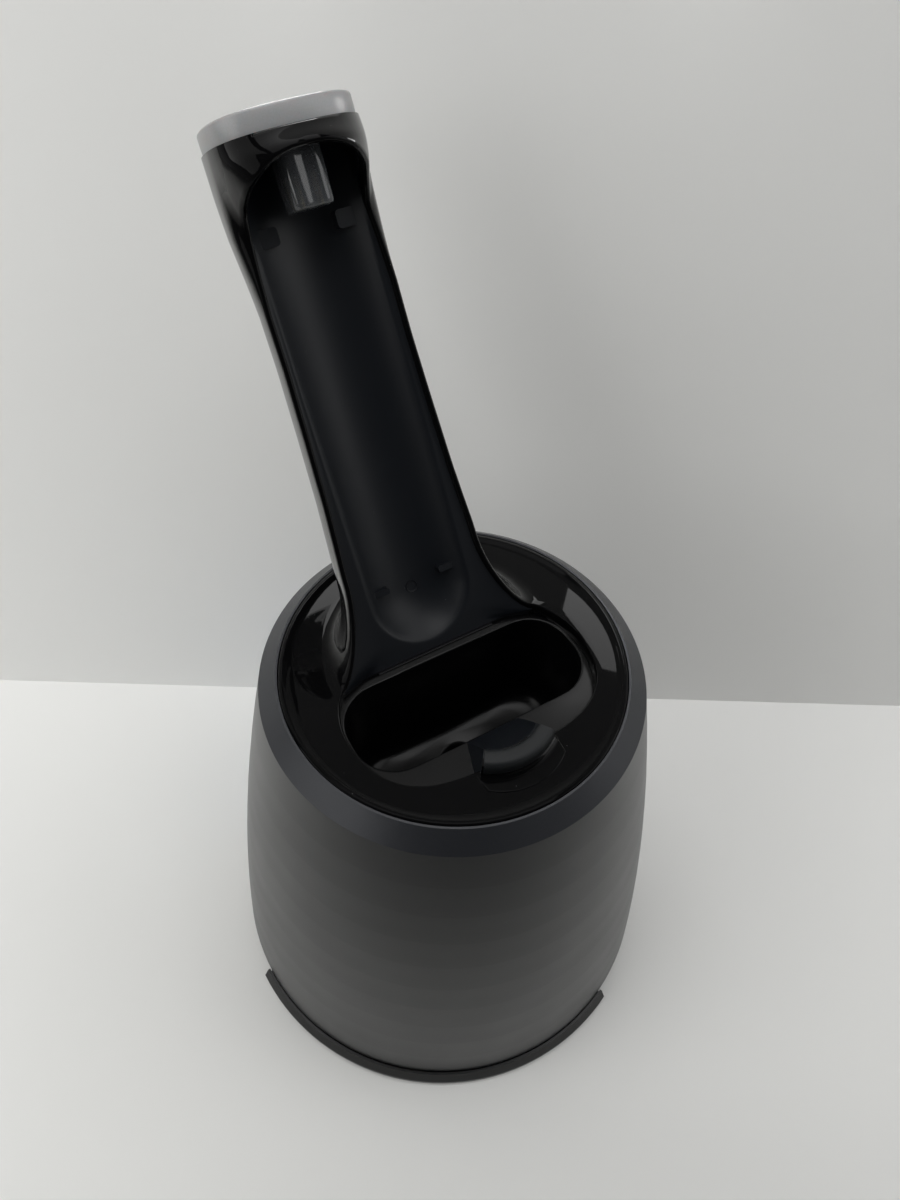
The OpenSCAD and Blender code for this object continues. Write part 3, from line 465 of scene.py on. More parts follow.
def skinRows(angles, feet):
    # rows of the flare, the arm and the head, from the deck up
    spec, s = armSpec, skinSpec
    rows = []
    for k in range(s["flareRows"]):
        t = k / s["flareRows"]
        rows.append([(1 - t) ** 3 * p[0] + 3 * t * (1 - t) ** 2 * p[1] + 3 * t * t * (1 - t) * p[2]
            + t ** 3 * p[3] for rise, p in feet])
    for k in range(s["armRows"]):
        t = k / s["armRows"]
        rows.append([armToWorld(*skinPoint(a, lerp(f[0], s["headLow"], t))) for a, f in zip(angles, feet)])
    heights = [lerp(s["headLow"], spec["mouthStart"], k / s["headRows"]) for k in range(s["headRows"])]
    heights += [lerp(spec["mouthStart"], spec["headTop"], k / s["topRows"]) for k in range(s["topRows"] + 1)]
    return rows + [[armToWorld(*skinPoint(a, z)) for a in angles] for z in heights]


def addHood(verts, faces, mouthRow, cols):
    # the hood, which joins the two lips above the mouth
    s = skinSpec
    steps = range(s["topRows"] + 1)
    hood = [[(mouthRow + t) * cols + cols - 1 for t in steps]]
    for j in range(1, s["hoodCols"]):
        angle = math.radians(lerp(-180 - s["lipAngle"], s["lipAngle"], j / s["hoodCols"]))
        hood.append([len(verts) + t for t in steps])
        verts += [armToWorld(*hoodPoint(angle, t / s["topRows"])) for t in steps]
    hood.append([(mouthRow + t) * cols for t in steps])
    for left, right in zip(hood, hood[1:]):
        for t in range(s["topRows"]):
            faces.append([left[t], right[t], right[t + 1], left[t + 1]])
    return hood


def joinRings(faces, first, second):
    count = len(first)
    for j in range(count):
        k = (j + 1) % count
        faces.append([first[j], second[j], second[k], first[k]])


def addTopTurn(verts, faces, top):
    # the head's top edge turns in under the light band
    centre = armToWorld(0, armSpec["centreY"], armSpec["headTop"])
    down = armToWorld(0, 0, 0) - armToWorld(0, 0, 1)
    previous = top
    for inset, drop in skinSpec["topTurn"]:
        ring = []
        for k in top:
            p = verts[k]
            ring.append(len(verts))
            verts.append(p + (centre - p).normalized() * inset + down * drop)
        joinRings(faces, previous, ring)
        previous = ring


def addOpening(verts, rightFoot):
    # the deck's opening ahead of the arm, bent over its first and last columns to meet the flare's ends
    front = smoothPath(openingHalf, skinSpec["openCols"] // 2)
    path = [Vector((p.x, p.y, 0)) for p in front] + [Vector((-p.x, p.y, 0)) for p in front[-2::-1]]
    shift = Vector((rightFoot.x - path[0].x, rightFoot.y - path[0].y, 0))
    loop = []
    for k, p in enumerate(path[1:-1], 1):
        fade = max(0, 1 - min(k, len(path) - 1 - k) / skinSpec["fadeCols"])
        q = p + Vector((shift.x if p.x > 0 else -shift.x, shift.y, 0)) * fade
        q.z = deckHeight(math.hypot(q.x, q.y))
        loop.append(len(verts))
        verts.append(q)
    return loop


def addDeck(verts, faces, inner):
    # the deck, from the loop of foot ends and opening out to its rim and down its edge
    s, deck = skinSpec, deckSpec
    rim = [deck["lipR"], deck["outer"] - deck["round"], deck["outer"], deck["outer"]]
    flat = s["deckRows"] - len(rim)
    drops = [0] * (s["deckRows"] - 2) + [deck["round"], deck["skirt"]]
    previous = inner
    for k, drop in enumerate(drops):
        ring = []
        for v in inner:
            p = verts[v]
            r0, heading = math.hypot(p.x, p.y), math.atan2(p.y, p.x)
            r = lerp(r0, deck["lipR"] - deck["step"], (k + 1) / flat) if k < flat else rim[k - flat]
            ring.append(len(verts))
            verts.append(Vector((r * math.cos(heading), r * math.sin(heading), deckHeight(r) - drop)))
        joinRings(faces, previous, ring)
        previous = ring


# the rounded edge as (inward, outward) from the skin, on the arm's lip and round the deck's opening
edgeSpec = {
    "lip": [(0.22, 0.10), (0.55, 0.17), (0.95, 0.08), (1.2, -0.22), (1.3, -0.75), (1.3, -2.0)],
    "deck": [(0.10, -0.01), (0.25, -0.06), (0.42, -0.22), (0.52, -0.55), (0.55, -1.3), (0.55, -3.3)],
    "under": (-0.45, -0.9), "hoodEase": 0.7, "hoodMiddle": 100, "deckMiddle": -8,
}
onHood, onDeck = -1, -2  # stand for the row of an edge point that isn't on a lip


def edgeWay(place, row, hoodCol):
    # the way out of the skin at a point of its edge, how far it is the deck's edge, and a point inside it
    up = Vector((0, 0, 1))
    front = armToWorld(0, -1, 0) - armToWorld(0, 0, 0)
    if row == onHood:
        under = (armToWorld(0, *edgeSpec["under"]) - armToWorld(0, 0, 0)).normalized()
        across = math.sin(math.pi * hoodCol / skinSpec["hoodCols"])
        out = front.lerp(under, across ** edgeSpec["hoodEase"]).normalized()
        return out, 0.0, armToWorld(0, 0, edgeSpec["hoodMiddle"])
    if row == onDeck:
        return up, 1.0, Vector((0, edgeSpec["deckMiddle"], place.z))
    weight = ease(1 - row / skinSpec["flareRows"])
    return front.lerp(up, weight).normalized(), weight, Vector((0, place.y, place.z))


def addEdge(verts, faces, edge, mouthRow):
    # a lip that turns in all along the free edge; gives back its last two lines
    count = len(edge)
    places = [verts[v] for v, row in edge]
    lines = [[v for v, row in edge]]
    for (lipIn, lipOut), (deckIn, deckOut) in zip(edgeSpec["lip"], edgeSpec["deck"]):
        line = []
        for k, (v, row) in enumerate(edge):
            along = (places[(k + 1) % count] - places[k - 1]).normalized()
            out, weight, middle = edgeWay(places[k], row, k - mouthRow)
            inward = along.cross(out).normalized()
            if inward.dot(middle - places[k]) < 0:
                inward = -inward
            inset, height = lerp(lipIn, deckIn, weight), lerp(lipOut, deckOut, weight)
            line.append(len(verts))
            verts.append(places[k] + inward * inset + out * height)
        for j in range(count):
            k = (j + 1) % count
            faces.append([lines[-1][j], lines[-1][k], line[k], line[j]])
        lines.append(line)
    return [verts[v] for v in lines[-2]], [verts[v] for v in lines[-1]]


def buildGlossSkin():
    s = skinSpec
    angles = columnAngles()
    cols = len(angles)
    feet = [footPoints(a) for a in angles]
    rows = skinRows(angles, feet)
    verts = [p for row in rows for p in row]
    faces = gridFaces(len(rows), cols)
    mouthRow = len(rows) - s["topRows"] - 1
    hood = addHood(verts, faces, mouthRow, cols)
    top = [(len(rows) - 1) * cols + c for c in range(cols)]
    addTopTurn(verts, faces, top + [column[-1] for column in hood[1:-1]])
    loop = addOpening(verts, rows[0][0])
    addDeck(verts, faces, list(range(cols - 1, -1, -1)) + loop)
    # the free edge: up the left lip, across the hood, down the right lip and round the opening
    edge = [(r * cols + cols - 1, r) for r in range(mouthRow + 1)]
    edge += [(column[0], onHood) for column in hood[1:-1]]
    edge += [(r * cols, r) for r in range(mouthRow, -1, -1)] + [(v, onDeck) for v in loop]
    line, deep = addEdge(verts, faces, edge, mouthRow)
    makePiece("glossSkin", verts, faces, "pianoBlack", "housing",
        ["top_deck", "arm_front_shell", "arm_rear_shell", "head_housing"], 60)
    # the lines of that edge, which the matte inner face is bridged to
    lip, hoodEnd = mouthRow + 1, mouthRow + s["hoodCols"]
    armZ = [lerp(feet[0][0], s["headLow"], k / s["armRows"]) for k in range(s["armRows"])]
    headZ = [lerp(s["headLow"], armSpec["mouthStart"], k / s["headRows"]) for k in range(s["headRows"] + 1)]
    return {"left": line[:lip], "hood": deep[lip:hoodEnd], "right": line[hoodEnd:hoodEnd + lip][::-1],
        "flare": s["flareRows"], "heights": (armZ + headZ)[::-1]}


freeEdge = buildGlossSkin()


# the matte face inside the gloss skin: a round trough up the arm, and the lining of the head's mouth
innerSpec = {
    "plane": 0.9, "troughHalf": [(0, 13.3), (60, 13.3), (80, 13.0), (96, 12.1)], "depth": 6.4,
    "radius": 16.8, "margin": 0.1, "endZ": 12.0, "straightZ": 19.0, "soften": 0.35,
    "footSteps": 16, "footY": 7.85, "footZ": 123.5, "footEase": 2.4,
    "skirtZ": 122.3, "skirt": [(0.3, 0.12), (1.0, 0.3)],
    "inward": [0, 0.15, 0.3, 0.45, 0.6, 0.73, 0.84, 0.92, 0.965, 0.99, 1.0],
    "outward": [0.03, 0.09, 0.25, 0.6, 1.0],
    "ceiling": 109.4, "lining": [0.35, 0.7, 0.93, 1.0], "shrink": 0.06, "shrinkFrom": 0.7, "shrinkRun": 0.3,
}


def worldToArm(p):
    c, s = math.cos(armSpec["lean"]), math.sin(armSpec["lean"])
    dy, dz = p.y - armSpec["footY"], p.z - armSpec["deckZ"]
    return (p.x, dy * c - dz * s, dy * s + dz * c)


def troughDepth(x, z):
    # depth of the arm's front at a point: a round trough with a ball end, blended into the flat
    spec = innerSpec
    reach = abs(x) if z >= spec["endZ"] else math.hypot(x, z - spec["endZ"])
    reach = min(reach, spec["radius"] - spec["margin"])
    bed = spec["depth"] - spec["radius"] + math.sqrt(spec["radius"] ** 2 - reach ** 2)
    gap = bed - spec["plane"]
    return 0.5 * (bed + spec["plane"] + math.sqrt(gap * gap + spec["soften"] ** 2))


def troughOutline(edge):
    # the trough's outline as a U, one point for each point of the free edge that it is bridged to
    spec = innerSpec
    first, half = edge["flare"], table(spec["troughHalf"], spec["straightZ"])
    side = [(-table(spec["troughHalf"], z), z) for z in edge["heights"]]
    drop = spec["straightZ"] - spec["endZ"]
    total = 2 * drop + math.pi * half
    count = 2 * first + spec["footSteps"]
    low = []
    for k in range(1, count):
        s = total * k / count
        if s < drop:
            low.append((-half, spec["straightZ"] - s))
        elif s < total - drop:
            turn = (s - drop) / half
            low.append((-half * math.cos(turn), spec["endZ"] - half * math.sin(turn)))
        else:
            low.append((half, spec["endZ"] + s - total + drop))
    return side + low + [(-x, z) for x, z in reversed(side)]


def addSkirt(verts, faces, last):
    # a skirt from the foot of the face down to the bowl's ledge; last are the foot's corners
    spec = innerSpec
    start, span = len(verts), len(last)
    for down, back in spec["skirt"]:
        for k in last:
            p = verts[k]
            verts.append(Vector((p.x, p.y + back, lerp(p.z, spec["skirtZ"], down))))
    for k in range(span - 1):
        faces.append([last[k], last[k + 1], start + k + 1, start + k])
        faces.append([start + k, start + k + 1, start + span + k + 1, start + span + k])


def addLining(verts, faces, ring):
    # the mouth's lining, from the trough's end and the hood's inner edge up to a ceiling
    spec = innerSpec
    lining = [ring]
    for t in spec["lining"]:
        shrink = 1 - spec["shrink"] * max(0, t - spec["shrinkFrom"]) / spec["shrinkRun"]
        row = []
        for p in ring:
            x, y, z = worldToArm(p)
            row.append(armToWorld(x * shrink, y * shrink, lerp(z, spec["ceiling"], t)))
        lining.append(row)
    start = len(verts)
    more, moreFaces = loftRings(lining, False, True)
    verts += more
    faces += [[k + start for k in face] for face in moreFaces]


def buildInnerFace(edge):
    spec = innerSpec
    left, right = edge["left"][::-1], edge["right"]
    foot = []
    for k in range(1, spec["footSteps"]):
        u = k / spec["footSteps"]
        toward = ease(spec["footEase"] * math.sin(math.pi * u))
        foot.append(Vector((lerp(left[-1].x, right[0].x, u), lerp(left[-1].y, spec["footY"], toward),
            lerp(left[-1].z, spec["footZ"], toward))))
    border = [worldToArm(p) for p in left + foot + right]
    outline = troughOutline(edge)
    rows = []
    for f in spec["inward"]:
        row = []
        for x, z in outline:
            px, pz = f * x, z if z >= spec["endZ"] else spec["endZ"] + f * (z - spec["endZ"])
            row.append(armToWorld(px, troughDepth(px, pz), pz))
        rows.append(row)
    for t in spec["outward"]:
        row = []
        for (x, z), (bx, by, bz) in zip(outline, border):
            px, pz = lerp(x, bx, t), lerp(z, bz, t)
            row.append(armToWorld(px, lerp(troughDepth(px, pz), by, t * t), pz))
        rows.append(row)
    cols = len(outline)
    verts = [p for row in rows for p in row]
    faces = gridFaces(len(rows), cols)
    last = (len(rows) - 1) * cols
    addSkirt(verts, faces, range(last + len(left) - 1, last + len(left) + len(foot) + 1))
    across = [k * cols for k in range(len(spec["inward"]) - 1, 0, -1)]
    across += [k * cols + cols - 1 for k in range(len(spec["inward"]))]
    ring = [verts[k] for k in [last] + across + [last + cols - 1]] + edge["hood"][::-1]
    addLining(verts, faces, ring)
    makePiece("innerFace", verts, faces, "armMatte", "housing", ["arm_channel"], 38)


def rayRadius(outline, centre, angle):
    # how far the outline lies from its centre along a heading
    tiny = 1e-6
    dx, dy = math.cos(angle), math.sin(angle)
    best = 0
    for (x0, y0), (x1, y1) in zip(outline, outline[1:] + outline[:1]):
        ax, ay, ex, ey = x0 - centre[0], y0 - centre[1], x1 - x0, y1 - y0
        cross = dx * ey - dy * ex
        if abs(cross) < 1e-9:  # this side runs along the ray
            continue
        reach, along = (ax * ey - ay * ex) / cross, (ax * dy - ay * dx) / cross
        if -tiny <= along <= 1 + tiny and reach > best:
            best = reach
    return best


def roundedRect(hx, hy, r, centre, steps=10):
    out = []
    for quarter, (sx, sy) in enumerate(((1, 1), (-1, 1), (-1, -1), (1, -1))):
        for k in range(steps + 1):
            a = math.pi / 2 * (quarter + k / steps)
            x, y = sx * (hx - r) + r * math.cos(a), sy * (hy - r) + r * math.sin(a)
            out.append((centre[0] + x, centre[1] + y))
    return out


# ledge and rim are (distance, height) rings, floor is (share of the way to the sump, height)
bowlSpec = {
    "centre": (0, -5.9), "half": (29.5, 11.6), "corner": 10, "cols": 112, "backY": 9.2, "backHalf": 23.0,
    "ledge": [(0.3, 122.7), (0.5, 122.42)], "ledgeMin": 0.6,
    "rim": [(0.7, 122.38), (0.45, 122.36), (0.2, 122.28), (0.05, 122.1), (0.0, 121.8), (-0.25, 117.0),
        (-0.6, 106.0), (-1.1, 97.5), (-1.5, 94.8)],
    "floor": [(0.03, 93.2), (0.08, 91.8), (0.17, 90.7), (0.32, 90.0), (0.6, 89.6)], "floorEdge": 1.5,
    "sump": [(5.6, 89.35), (4.7, 89.0), (4.1, 88.3), (4.0, 87.3), (4.0, 83.0)],
}


def buildBowl():
    spec = bowlSpec
    back = [(-spec["backHalf"], spec["backY"]), (spec["backHalf"], spec["backY"])]
    opening = openingHalf + [(-x, y) for x, y in openingHalf[-2::-1]] + back
    rim = roundedRect(*spec["half"], spec["corner"], spec["centre"])
    angles = [2 * math.pi * k / spec["cols"] for k in range(spec["cols"])]
    cx, cy = spec["centre"]

    def ring(radii, z):
        return [Vector((cx + r * math.cos(a), cy + r * math.sin(a), z)) for r, a in zip(radii, angles)]

    outer = [rayRadius(opening, spec["centre"], a) for a in angles]
    inner = [rayRadius(rim, spec["centre"], a) for a in angles]
    sump = spec["sump"][0][0]
    rings = [ring([r - inset for r in outer], z) for inset, z in spec["ledge"]]
    for out, z in spec["rim"]:
        rings.append(ring([min(r + out, limit - spec["ledgeMin"]) for r, limit in zip(inner, outer)], z))
    rings += [ring([lerp(r - spec["floorEdge"], sump, t) for r in inner], z) for t, z in spec["floor"]]
    rings += [ring([r] * spec["cols"], z) for r, z in spec["sump"]]
    verts, faces = loftRings(rings, False, True)
    makePiece("bowlLiner", verts, faces, "bowlBlack", "housing", ["wash_bowl"], 35, True)


# the tab ahead of the bowl: front and pad are (radius, height) round its centre, slope is (share, height)
tabSpec = {
    "centre": (0, -15.5), "half": 37, "cols": 25, "padHalf": 35.5,
    "front": [(17.7, 126.12), (16.9, 126.2), (16.3, 126.45), (15.95, 126.9), (15.75, 127.5), (15.6, 128.4),
        (15.2, 129.6), (13.5, 129.9), (11.6, 129.9), (11.2, 129.75)],
    "slope": [(0.06, 129.35), (0.35, 127.3), (0.7, 124.7), (0.93, 122.9), (1.0, 122.35)],
    "slopeEnd": -17.9, "rampY": -26.5,
    "pad": [(15.75, 127.3), (15.8, 127.5), (15.72, 129.5), (15.5, 130.2), (15.1, 130.55), (14.5, 130.7),
        (12.6, 130.68), (11.9, 130.5), (11.55, 130.1), (11.5, 129.7), (14.0, 129.4), (15.2, 127.4)],
}
# the plate under it, let into the deck; rings are (inset, height)
plateSpec = {
    "half": 10.4, "startY": -27.6, "edgeY": -27, "reach": 8.6, "radius": 15.6, "turn": 40, "cols": 16,
    "middle": (0, -29.5), "rings": [(0.0, 125.5), (0.0, 126.1), (0.12, 126.19), (0.3, 126.22), (0.9, 126.22)],
}


def arcPoint(r, degrees, z):
    cx, cy = tabSpec["centre"]
    a = math.radians(degrees - 90)
    return Vector((cx + r * math.cos(a), cy + r * math.sin(a), z))


def spread(half, cols):
    return [lerp(-half, half, k / (cols - 1)) for k in range(cols)]


def buildTab():
    spec = tabSpec
    rows = [[arcPoint(r, turn, z) for turn in spread(spec["half"], spec["cols"])] for r, z in spec["front"]]
    crest = rows[-1]
    rows += [[Vector((p.x, lerp(p.y, spec["slopeEnd"], t), z)) for p in crest] for t, z in spec["slope"]]
    verts = [p for row in rows for p in row]
    faces = gridFaces(len(rows), spec["cols"])
    for side in (0, spec["cols"] - 1):
        ends = [k * spec["cols"] + side for k in range(len(rows))]
        faces.append(ends + [len(verts)])
        front = verts[ends[0]]
        verts.append(Vector((front.x, front.y, spec["slope"][-1][1])))
    collar = makePiece("padCollar", verts, faces, "pianoBlack", "housing", ["pad_collar"], 42)
    # the ramp behind the pad is as dull as the arm's face
    collar.data.materials.append(made["armMatte"])
    for face in collar.data.polygons:
        face.material_index = 1 if face.center.y > spec["rampY"] * mm else 0
    rings = [[arcPoint(r, turn, z) for r, z in spec["pad"]] for turn in spread(spec["padHalf"], spec["cols"])]
    verts, faces = loftRings(rings, True, True)
    makePiece("guidePad", verts, faces, "padGrey", "housing", ["guide_pad"], 50)


def buildPlate():
    spec = plateSpec
    centreY = spec["radius"] + spec["edgeY"] - spec["reach"]
    outline = [(-spec["half"], spec["startY"])]
    for k in range(spec["cols"] + 1):
        a = math.radians(270 - spec["turn"] + 2 * spec["turn"] * k / spec["cols"])
        outline.append((spec["radius"] * math.cos(a), centreY + spec["radius"] * math.sin(a)))
    outline.append((spec["half"], spec["startY"]))
    rings = []
    for inset, z in spec["rings"]:
        ring = []
        for x, y in outline:
            inward = Vector((spec["middle"][0] - x, spec["middle"][1] - y, 0)).normalized()
            ring.append(Vector((x, y, z)) + inward * inset)
        rings.append(ring)
    verts, faces = loftRings(rings, False, True)
    makePiece("collarFoot", verts, faces, "pianoBlack", "housing", [], 42)


# the head's top as (inset, height) rings: the light band, and the start plate inside it
capSpec = {
    "side": 16.2, "front": 13.7, "back": 13.4, "cols": 72, "planZ": 112,
    "band": [(2.9, 111.75), (0.64, 111.75), (0.56, 111.9), (0.5, 112.2), (0.47, 114.0), (0.5, 115.75),
        (0.62, 116.1), (0.9, 116.32), (1.3, 116.4), (2.2, 116.4), (2.45, 116.34), (2.58, 116.15),
        (2.6, 115.9), (2.6, 113.6)],
    "plate": [(3.0, 114.45), (2.8, 114.6), (2.8, 116.3), (2.86, 116.5), (3.05, 116.6), (3.5, 116.63),
        (5.0, 116.62), (7.0, 116.5), (9.5, 116.36), (11.5, 116.3)],
}


def capRings(profile):
    spec = capSpec
    rings = []
    for inset, z in profile:
        ring = []
        for k in range(spec["cols"]):
            a = 2 * math.pi * k / spec["cols"]
            deep = spec["back"] if math.sin(a) > 0 else spec["front"]
            r = sectionRadius(a, spec["side"], deep, spec["planZ"]) - inset
            ring.append(armToWorld(r * math.cos(a), armSpec["centreY"] + r * math.sin(a), z))
        rings.append(ring)
    return rings


def buildCap():
    verts, faces = loftRings(capRings(capSpec["band"]), True, True)
    makePiece("lightBand", verts, faces, "bandGrey", "housing", ["light_band"], 35)
    verts, faces = loftRings(capRings(capSpec["plate"]), True, True)
    makePiece("startPlate", verts, faces, "plateGrey", "start_button_body",
        ["start_button"], 35)


# a clover-shaped plug under the head, as (scale, height) rings
plugSpec = {
    "centre": (0, -2.6), "radius": 4.75, "lobes": 4, "lobeDepth": 0.13, "cols": 64,
    "rows": [(0.80, 97.2), (0.91, 97.25), (0.98, 97.55), (1.0, 98.2), (1.02, 101.5), (1.04, 104.5),
        (1.06, 109.6)],
}


def buildPlug():
    spec = plugSpec
    rings = []
    for scale, z in spec["rows"]:
        ring = []
        for k in range(spec["cols"]):
            a = 2 * math.pi * k / spec["cols"]
            wave = math.cos(spec["lobes"] * (a + math.pi / 2))
            r = spec["radius"] * scale * (1 - spec["lobeDepth"] * wave)
            x, y = spec["centre"][0] + r * math.cos(a), spec["centre"][1] + r * math.sin(a)
            ring.append(armToWorld(x, y, z))
        rings.append(ring)
    verts, faces = loftRings(rings, True, True)
    makePiece("contactPlug", verts, faces, "plugSmoke", "housing", ["contact_plug"], 45)


markSpec = {"at": (0, 11.8), "radius": 1.35, "thick": 0.16, "sink": 0.4, "cols": 32, "round": 6}


def buildRingMark():
    # a fine raised ring at the foot of the trough
    spec = markSpec
    rings = []
    for k in range(spec["cols"]):
        a = 2 * math.pi * k / spec["cols"]
        ring = []
        for j in range(spec["round"]):
            b = 2 * math.pi * j / spec["round"]
            r = spec["radius"] + spec["thick"] * math.cos(b)
            x, z = spec["at"][0] + r * math.cos(a), spec["at"][1] + r * math.sin(a)
            ring.append(armToWorld(x, troughDepth(x, z) - spec["thick"] * (spec["sink"] + math.sin(b)), z))
        rings.append(ring)
    verts, faces = loftRings(rings + [rings[0]])
    makePiece("ringMark", verts, faces, "armMatte", "housing", [], 60)


buildInnerFace(freeEdge)
buildBowl()
buildTab()
buildPlate()
buildCap()
buildPlug()
buildRingMark()


# the paper floor and the leaning paper wall behind; foot, behind, half and drop are in mm
stageSpec = {
    "floor": (0.74, 0.74, 0.725), "floorHalf": 3.0, "wall": (0.81, 0.81, 0.795), "foot": 71.74,
    "heading": (0.5098, 0.8603), "lean": 12, "width": 1.8, "height": 1.4, "roughness": 0.6,
    "card": {"colour": (0.012, 0.012, 0.012), "behind": 70, "half": (190, 330), "drop": 190},
}


def stageMaterial(name, colour, oneSided):
    material = bpy.data.materials.new(name)
    material.use_nodes = True
    tree = material.node_tree
    shader = tree.nodes["Principled BSDF"]
    shader.inputs["Base Color"].default_value = (*colour, 1)
    shader.inputs["Roughness"].default_value = stageSpec["roughness"]
    if oneSided:
        clear = addNode(tree, "ShaderNodeBsdfTransparent", (0, -300))
        side = addNode(tree, "ShaderNodeNewGeometry", (-200, 300))
        mix = addNode(tree, "ShaderNodeMixShader", (300, 0))
        tree.links.new(side.outputs["Backfacing"], mix.inputs[0])
        tree.links.new(shader.outputs[0], mix.inputs[1])
        tree.links.new(clear.outputs[0], mix.inputs[2])
        tree.links.new(mix.outputs[0], tree.nodes["Material Output"].inputs["Surface"])
    return material


def quadObject(name, corners, material):
    mesh = bpy.data.meshes.new(name)
    mesh.from_pydata(corners, [], [list(range(len(corners)))])
    obj = bpy.data.objects.new(name, mesh)
    mesh.materials.append(material)
    scene.collection.objects.link(obj)
    return obj


def makeStage(spec):
    half = spec["floorHalf"]
    quadObject("floorSheet", [(-half, -half, 0), (half, -half, 0), (half, half, 0), (-half, half, 0)],
        stageMaterial("floorPale", spec["floor"], False))
    away = Vector((*spec["heading"], 0))
    side = Vector((away.y, -away.x, 0))
    foot = away * spec["foot"] * mm
    lean = math.radians(spec["lean"])
    rise = away * math.sin(lean) + Vector((0, 0, math.cos(lean)))
    low = [foot - side * spec["width"], foot + side * spec["width"]]
    quadObject("backSheet", [low[0], low[1], low[1] + rise * spec["height"], low[0] + rise * spec["height"]],
        stageMaterial("wallPale", spec["wall"], True))
    # the dark shape of whoever takes the picture, just behind the camera; hidden from the camera, it casts
    # shade and darkens what the gloss mirrors
    dark, right, down = spec["card"], Vector(camera["right"]), Vector(camera["down"])
    middle = Vector(camera["place"]) - Vector(camera["forward"]) * dark["behind"] + down * dark["drop"]
    corners = [(middle + right * x * dark["half"][0] + down * y * dark["half"][1]) * mm
        for x, y in ((-1, -1), (1, -1), (1, 1), (-1, 1))]
    card = quadObject("darkCard", corners, stageMaterial("cardDark", dark["colour"], False))
    card.visible_camera = False


makeStage(stageSpec)
print("stage made")

# square lamps, in metres and watts; those for mirrors only give the gloss its glints
lamps = {
    "keySoft": {"place": (-0.85, 0.00, 0.80), "aim": (-0.05, 0.05, 0.1), "size": 1.0, "power": 7.0,
        "tint": (1, 1, 0.985)},
    "sideFill": {"place": (0.85, -0.30, 0.75), "aim": (0.1, 0.05, 0.1), "size": 1.0, "power": 5.6},
    "glintLeft": {"place": (0.0093, 0.1062, 0.2468), "aim": (-0.0212, 0.0226, 0.1261), "size": 0.035,
        "power": 0.028, "mirrorOnly": True},
    "glintRight": {"place": (0.1040, 0.0556, 0.2446), "aim": (0.0368, -0.0072, 0.1261), "size": 0.035,
        "power": 0.028, "mirrorOnly": True},
    "ceiling": {"place": (0.0, 0.0, 1.5), "aim": (0, 0.1, 0), "size": 1.0, "power": 10.0},
}


def makeLamp(name, spec):
    data = bpy.data.lights.new(name, "AREA")
    data.size, data.energy, data.color = spec["size"], spec["power"], spec.get("tint", (1, 1, 1))
    obj = bpy.data.objects.new(name, data)
    scene.collection.objects.link(obj)
    place = Vector(spec["place"])
    obj.location = place
    obj.rotation_euler = (Vector(spec["aim"]) - place).to_track_quat("-Z", "Y").to_euler()
    if spec.get("mirrorOnly"):
        obj.visible_diffuse = obj.visible_camera = False


for name, spec in lamps.items():
    makeLamp(name, spec)
print("lamps:", len(lamps))


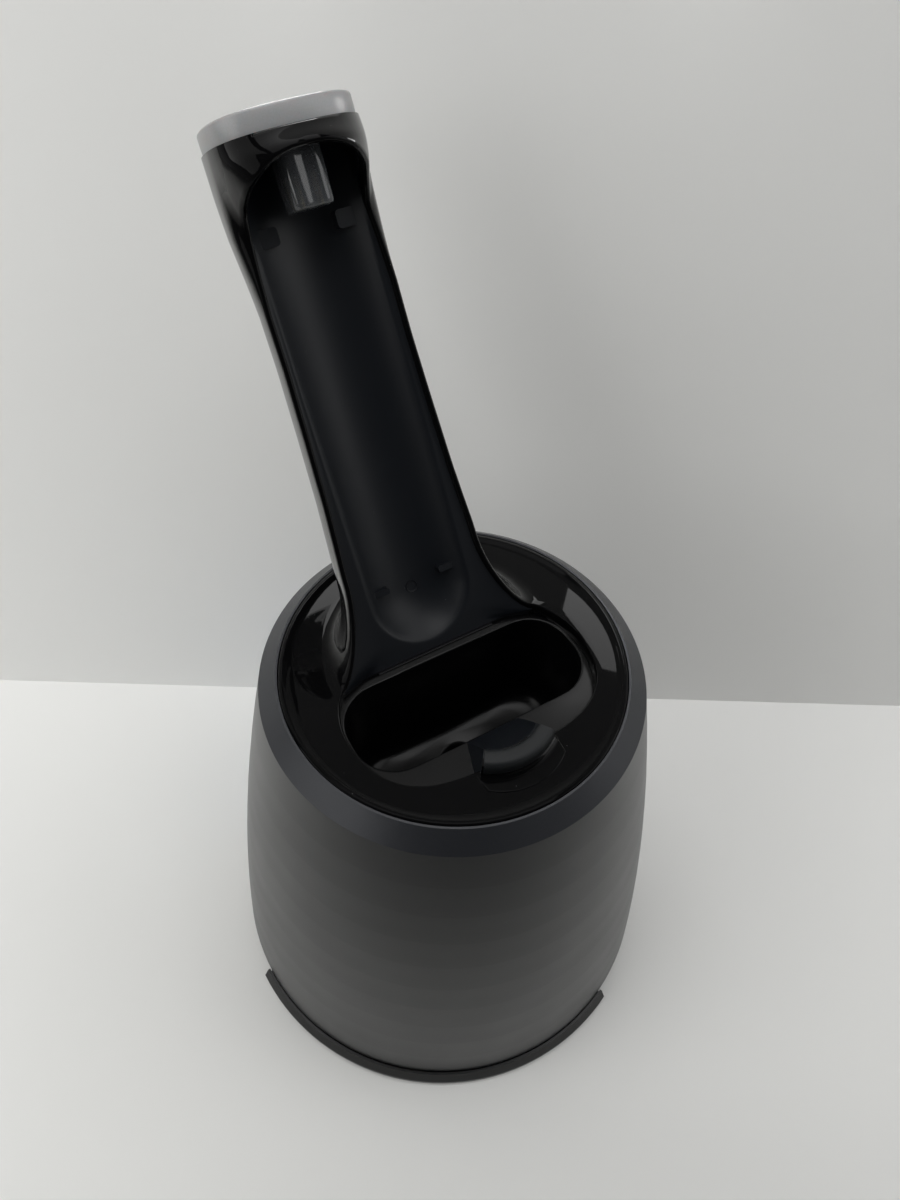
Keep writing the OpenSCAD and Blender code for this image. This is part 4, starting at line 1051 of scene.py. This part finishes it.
def makeWorld(spec):
    # white where the camera sees it, a dim room with a darker ceiling where the object mirrors it
    world = bpy.data.worlds.new("studio")
    scene.world = world
    world.use_nodes = True
    tree = world.node_tree
    tree.nodes.clear()
    out = addNode(tree, "ShaderNodeOutputWorld", (800, 0))
    rays = addNode(tree, "ShaderNodeLightPath", (-400, 400))
    white = addNode(tree, "ShaderNodeBackground", (0, 300), Color=(1, 1, 1, 1), Strength=1.0)
    soft = addNode(tree, "ShaderNodeBackground", (0, 100), Color=(*spec["soft"], 1), Strength=1.0)
    room = addNode(tree, "ShaderNodeBackground", (0, -100), Strength=1.0)
    where = addNode(tree, "ShaderNodeTexCoord", (-800, -200))
    split = addNode(tree, "ShaderNodeSeparateXYZ", (-600, -200))
    ramp = addNode(tree, "ShaderNodeValToRGB", (-400, -200))
    for element, (at, level) in zip(ramp.color_ramp.elements, spec["mirrored"]):
        element.position, element.color = at, (level, level, level, 1)
    tree.links.new(where.outputs["Generated"], split.inputs[0])
    tree.links.new(split.outputs["Z"], ramp.inputs[0])
    tree.links.new(ramp.outputs["Color"], room.inputs["Color"])
    mirrored = addNode(tree, "ShaderNodeMixShader", (300, 0))
    tree.links.new(rays.outputs["Is Glossy Ray"], mirrored.inputs[0])
    tree.links.new(soft.outputs[0], mirrored.inputs[1])
    tree.links.new(room.outputs[0], mirrored.inputs[2])
    seen = addNode(tree, "ShaderNodeMixShader", (550, 0))
    tree.links.new(rays.outputs["Is Camera Ray"], seen.inputs[0])
    tree.links.new(mirrored.outputs[0], seen.inputs[1])
    tree.links.new(white.outputs[0], seen.inputs[2])
    tree.links.new(seen.outputs[0], out.inputs["Surface"])


makeWorld({"soft": (0.30, 0.30, 0.30), "mirrored": [(0.05, 0.30), (0.55, 0.03)]})

nodeFinish = {
    "shellPaint": ["outer_shell"],
    "ringMetallic": ["trim_ring"],
    "pianoBlack": ["top_deck", "pad_collar", "arm_front_shell", "arm_rear_shell", "head_housing"],
    "bowlBlack": ["wash_bowl"],
    "armMatte": ["arm_channel", "upper_rest_pads", "lower_rest_ribs"],
    "padGrey": ["guide_pad"],
    "baseBlack": ["base_plate", "shell_liner", "lift_button"],
    "footRubber": ["rubber_feet"],
    "frameBlack": ["cartridge_guide", "guide_columns", "latch_posts", "chassis", "guide_sleeves",
        "drain_funnel", "suction_nozzle", "pump_housing", "pump_cover", "power_inlet", "arm_root",
        "button_switch"],
    "bandGrey": ["light_band"],
    "plateGrey": ["start_button"],
    "plugSmoke": ["contact_plug"],
    "sealRubber": ["bowl_seal", "drain_seal", "nozzle_seal", "port_seals", "arm_cable"],
    "hoseGrey": ["supply_hose"],
    "steel": ["lift_springs", "base_screws", "housing_screws", "pump_motor", "button_leaf", "arm_screws",
        "button_dome", "motor_shaft"],
    "brassPin": ["contact_pins", "inlet_pins"],
    "boardGreen": ["main_board"],
    "latchGrey": ["latch_bar", "latch_noses"],
    "cartridgeBlue": ["cartridge_tub", "cartridge_lid"],
    "filterFelt": ["cartridge_filter"],
    "impellerWhite": ["impeller"],
}

for finish, names in nodeFinish.items():
    for name in names:
        mesh = nodes[name].data
        mesh.materials.clear()
        mesh.materials.append(made[finish])
print("finished nodes:", sum(len(names) for names in nodeFinish.values()))
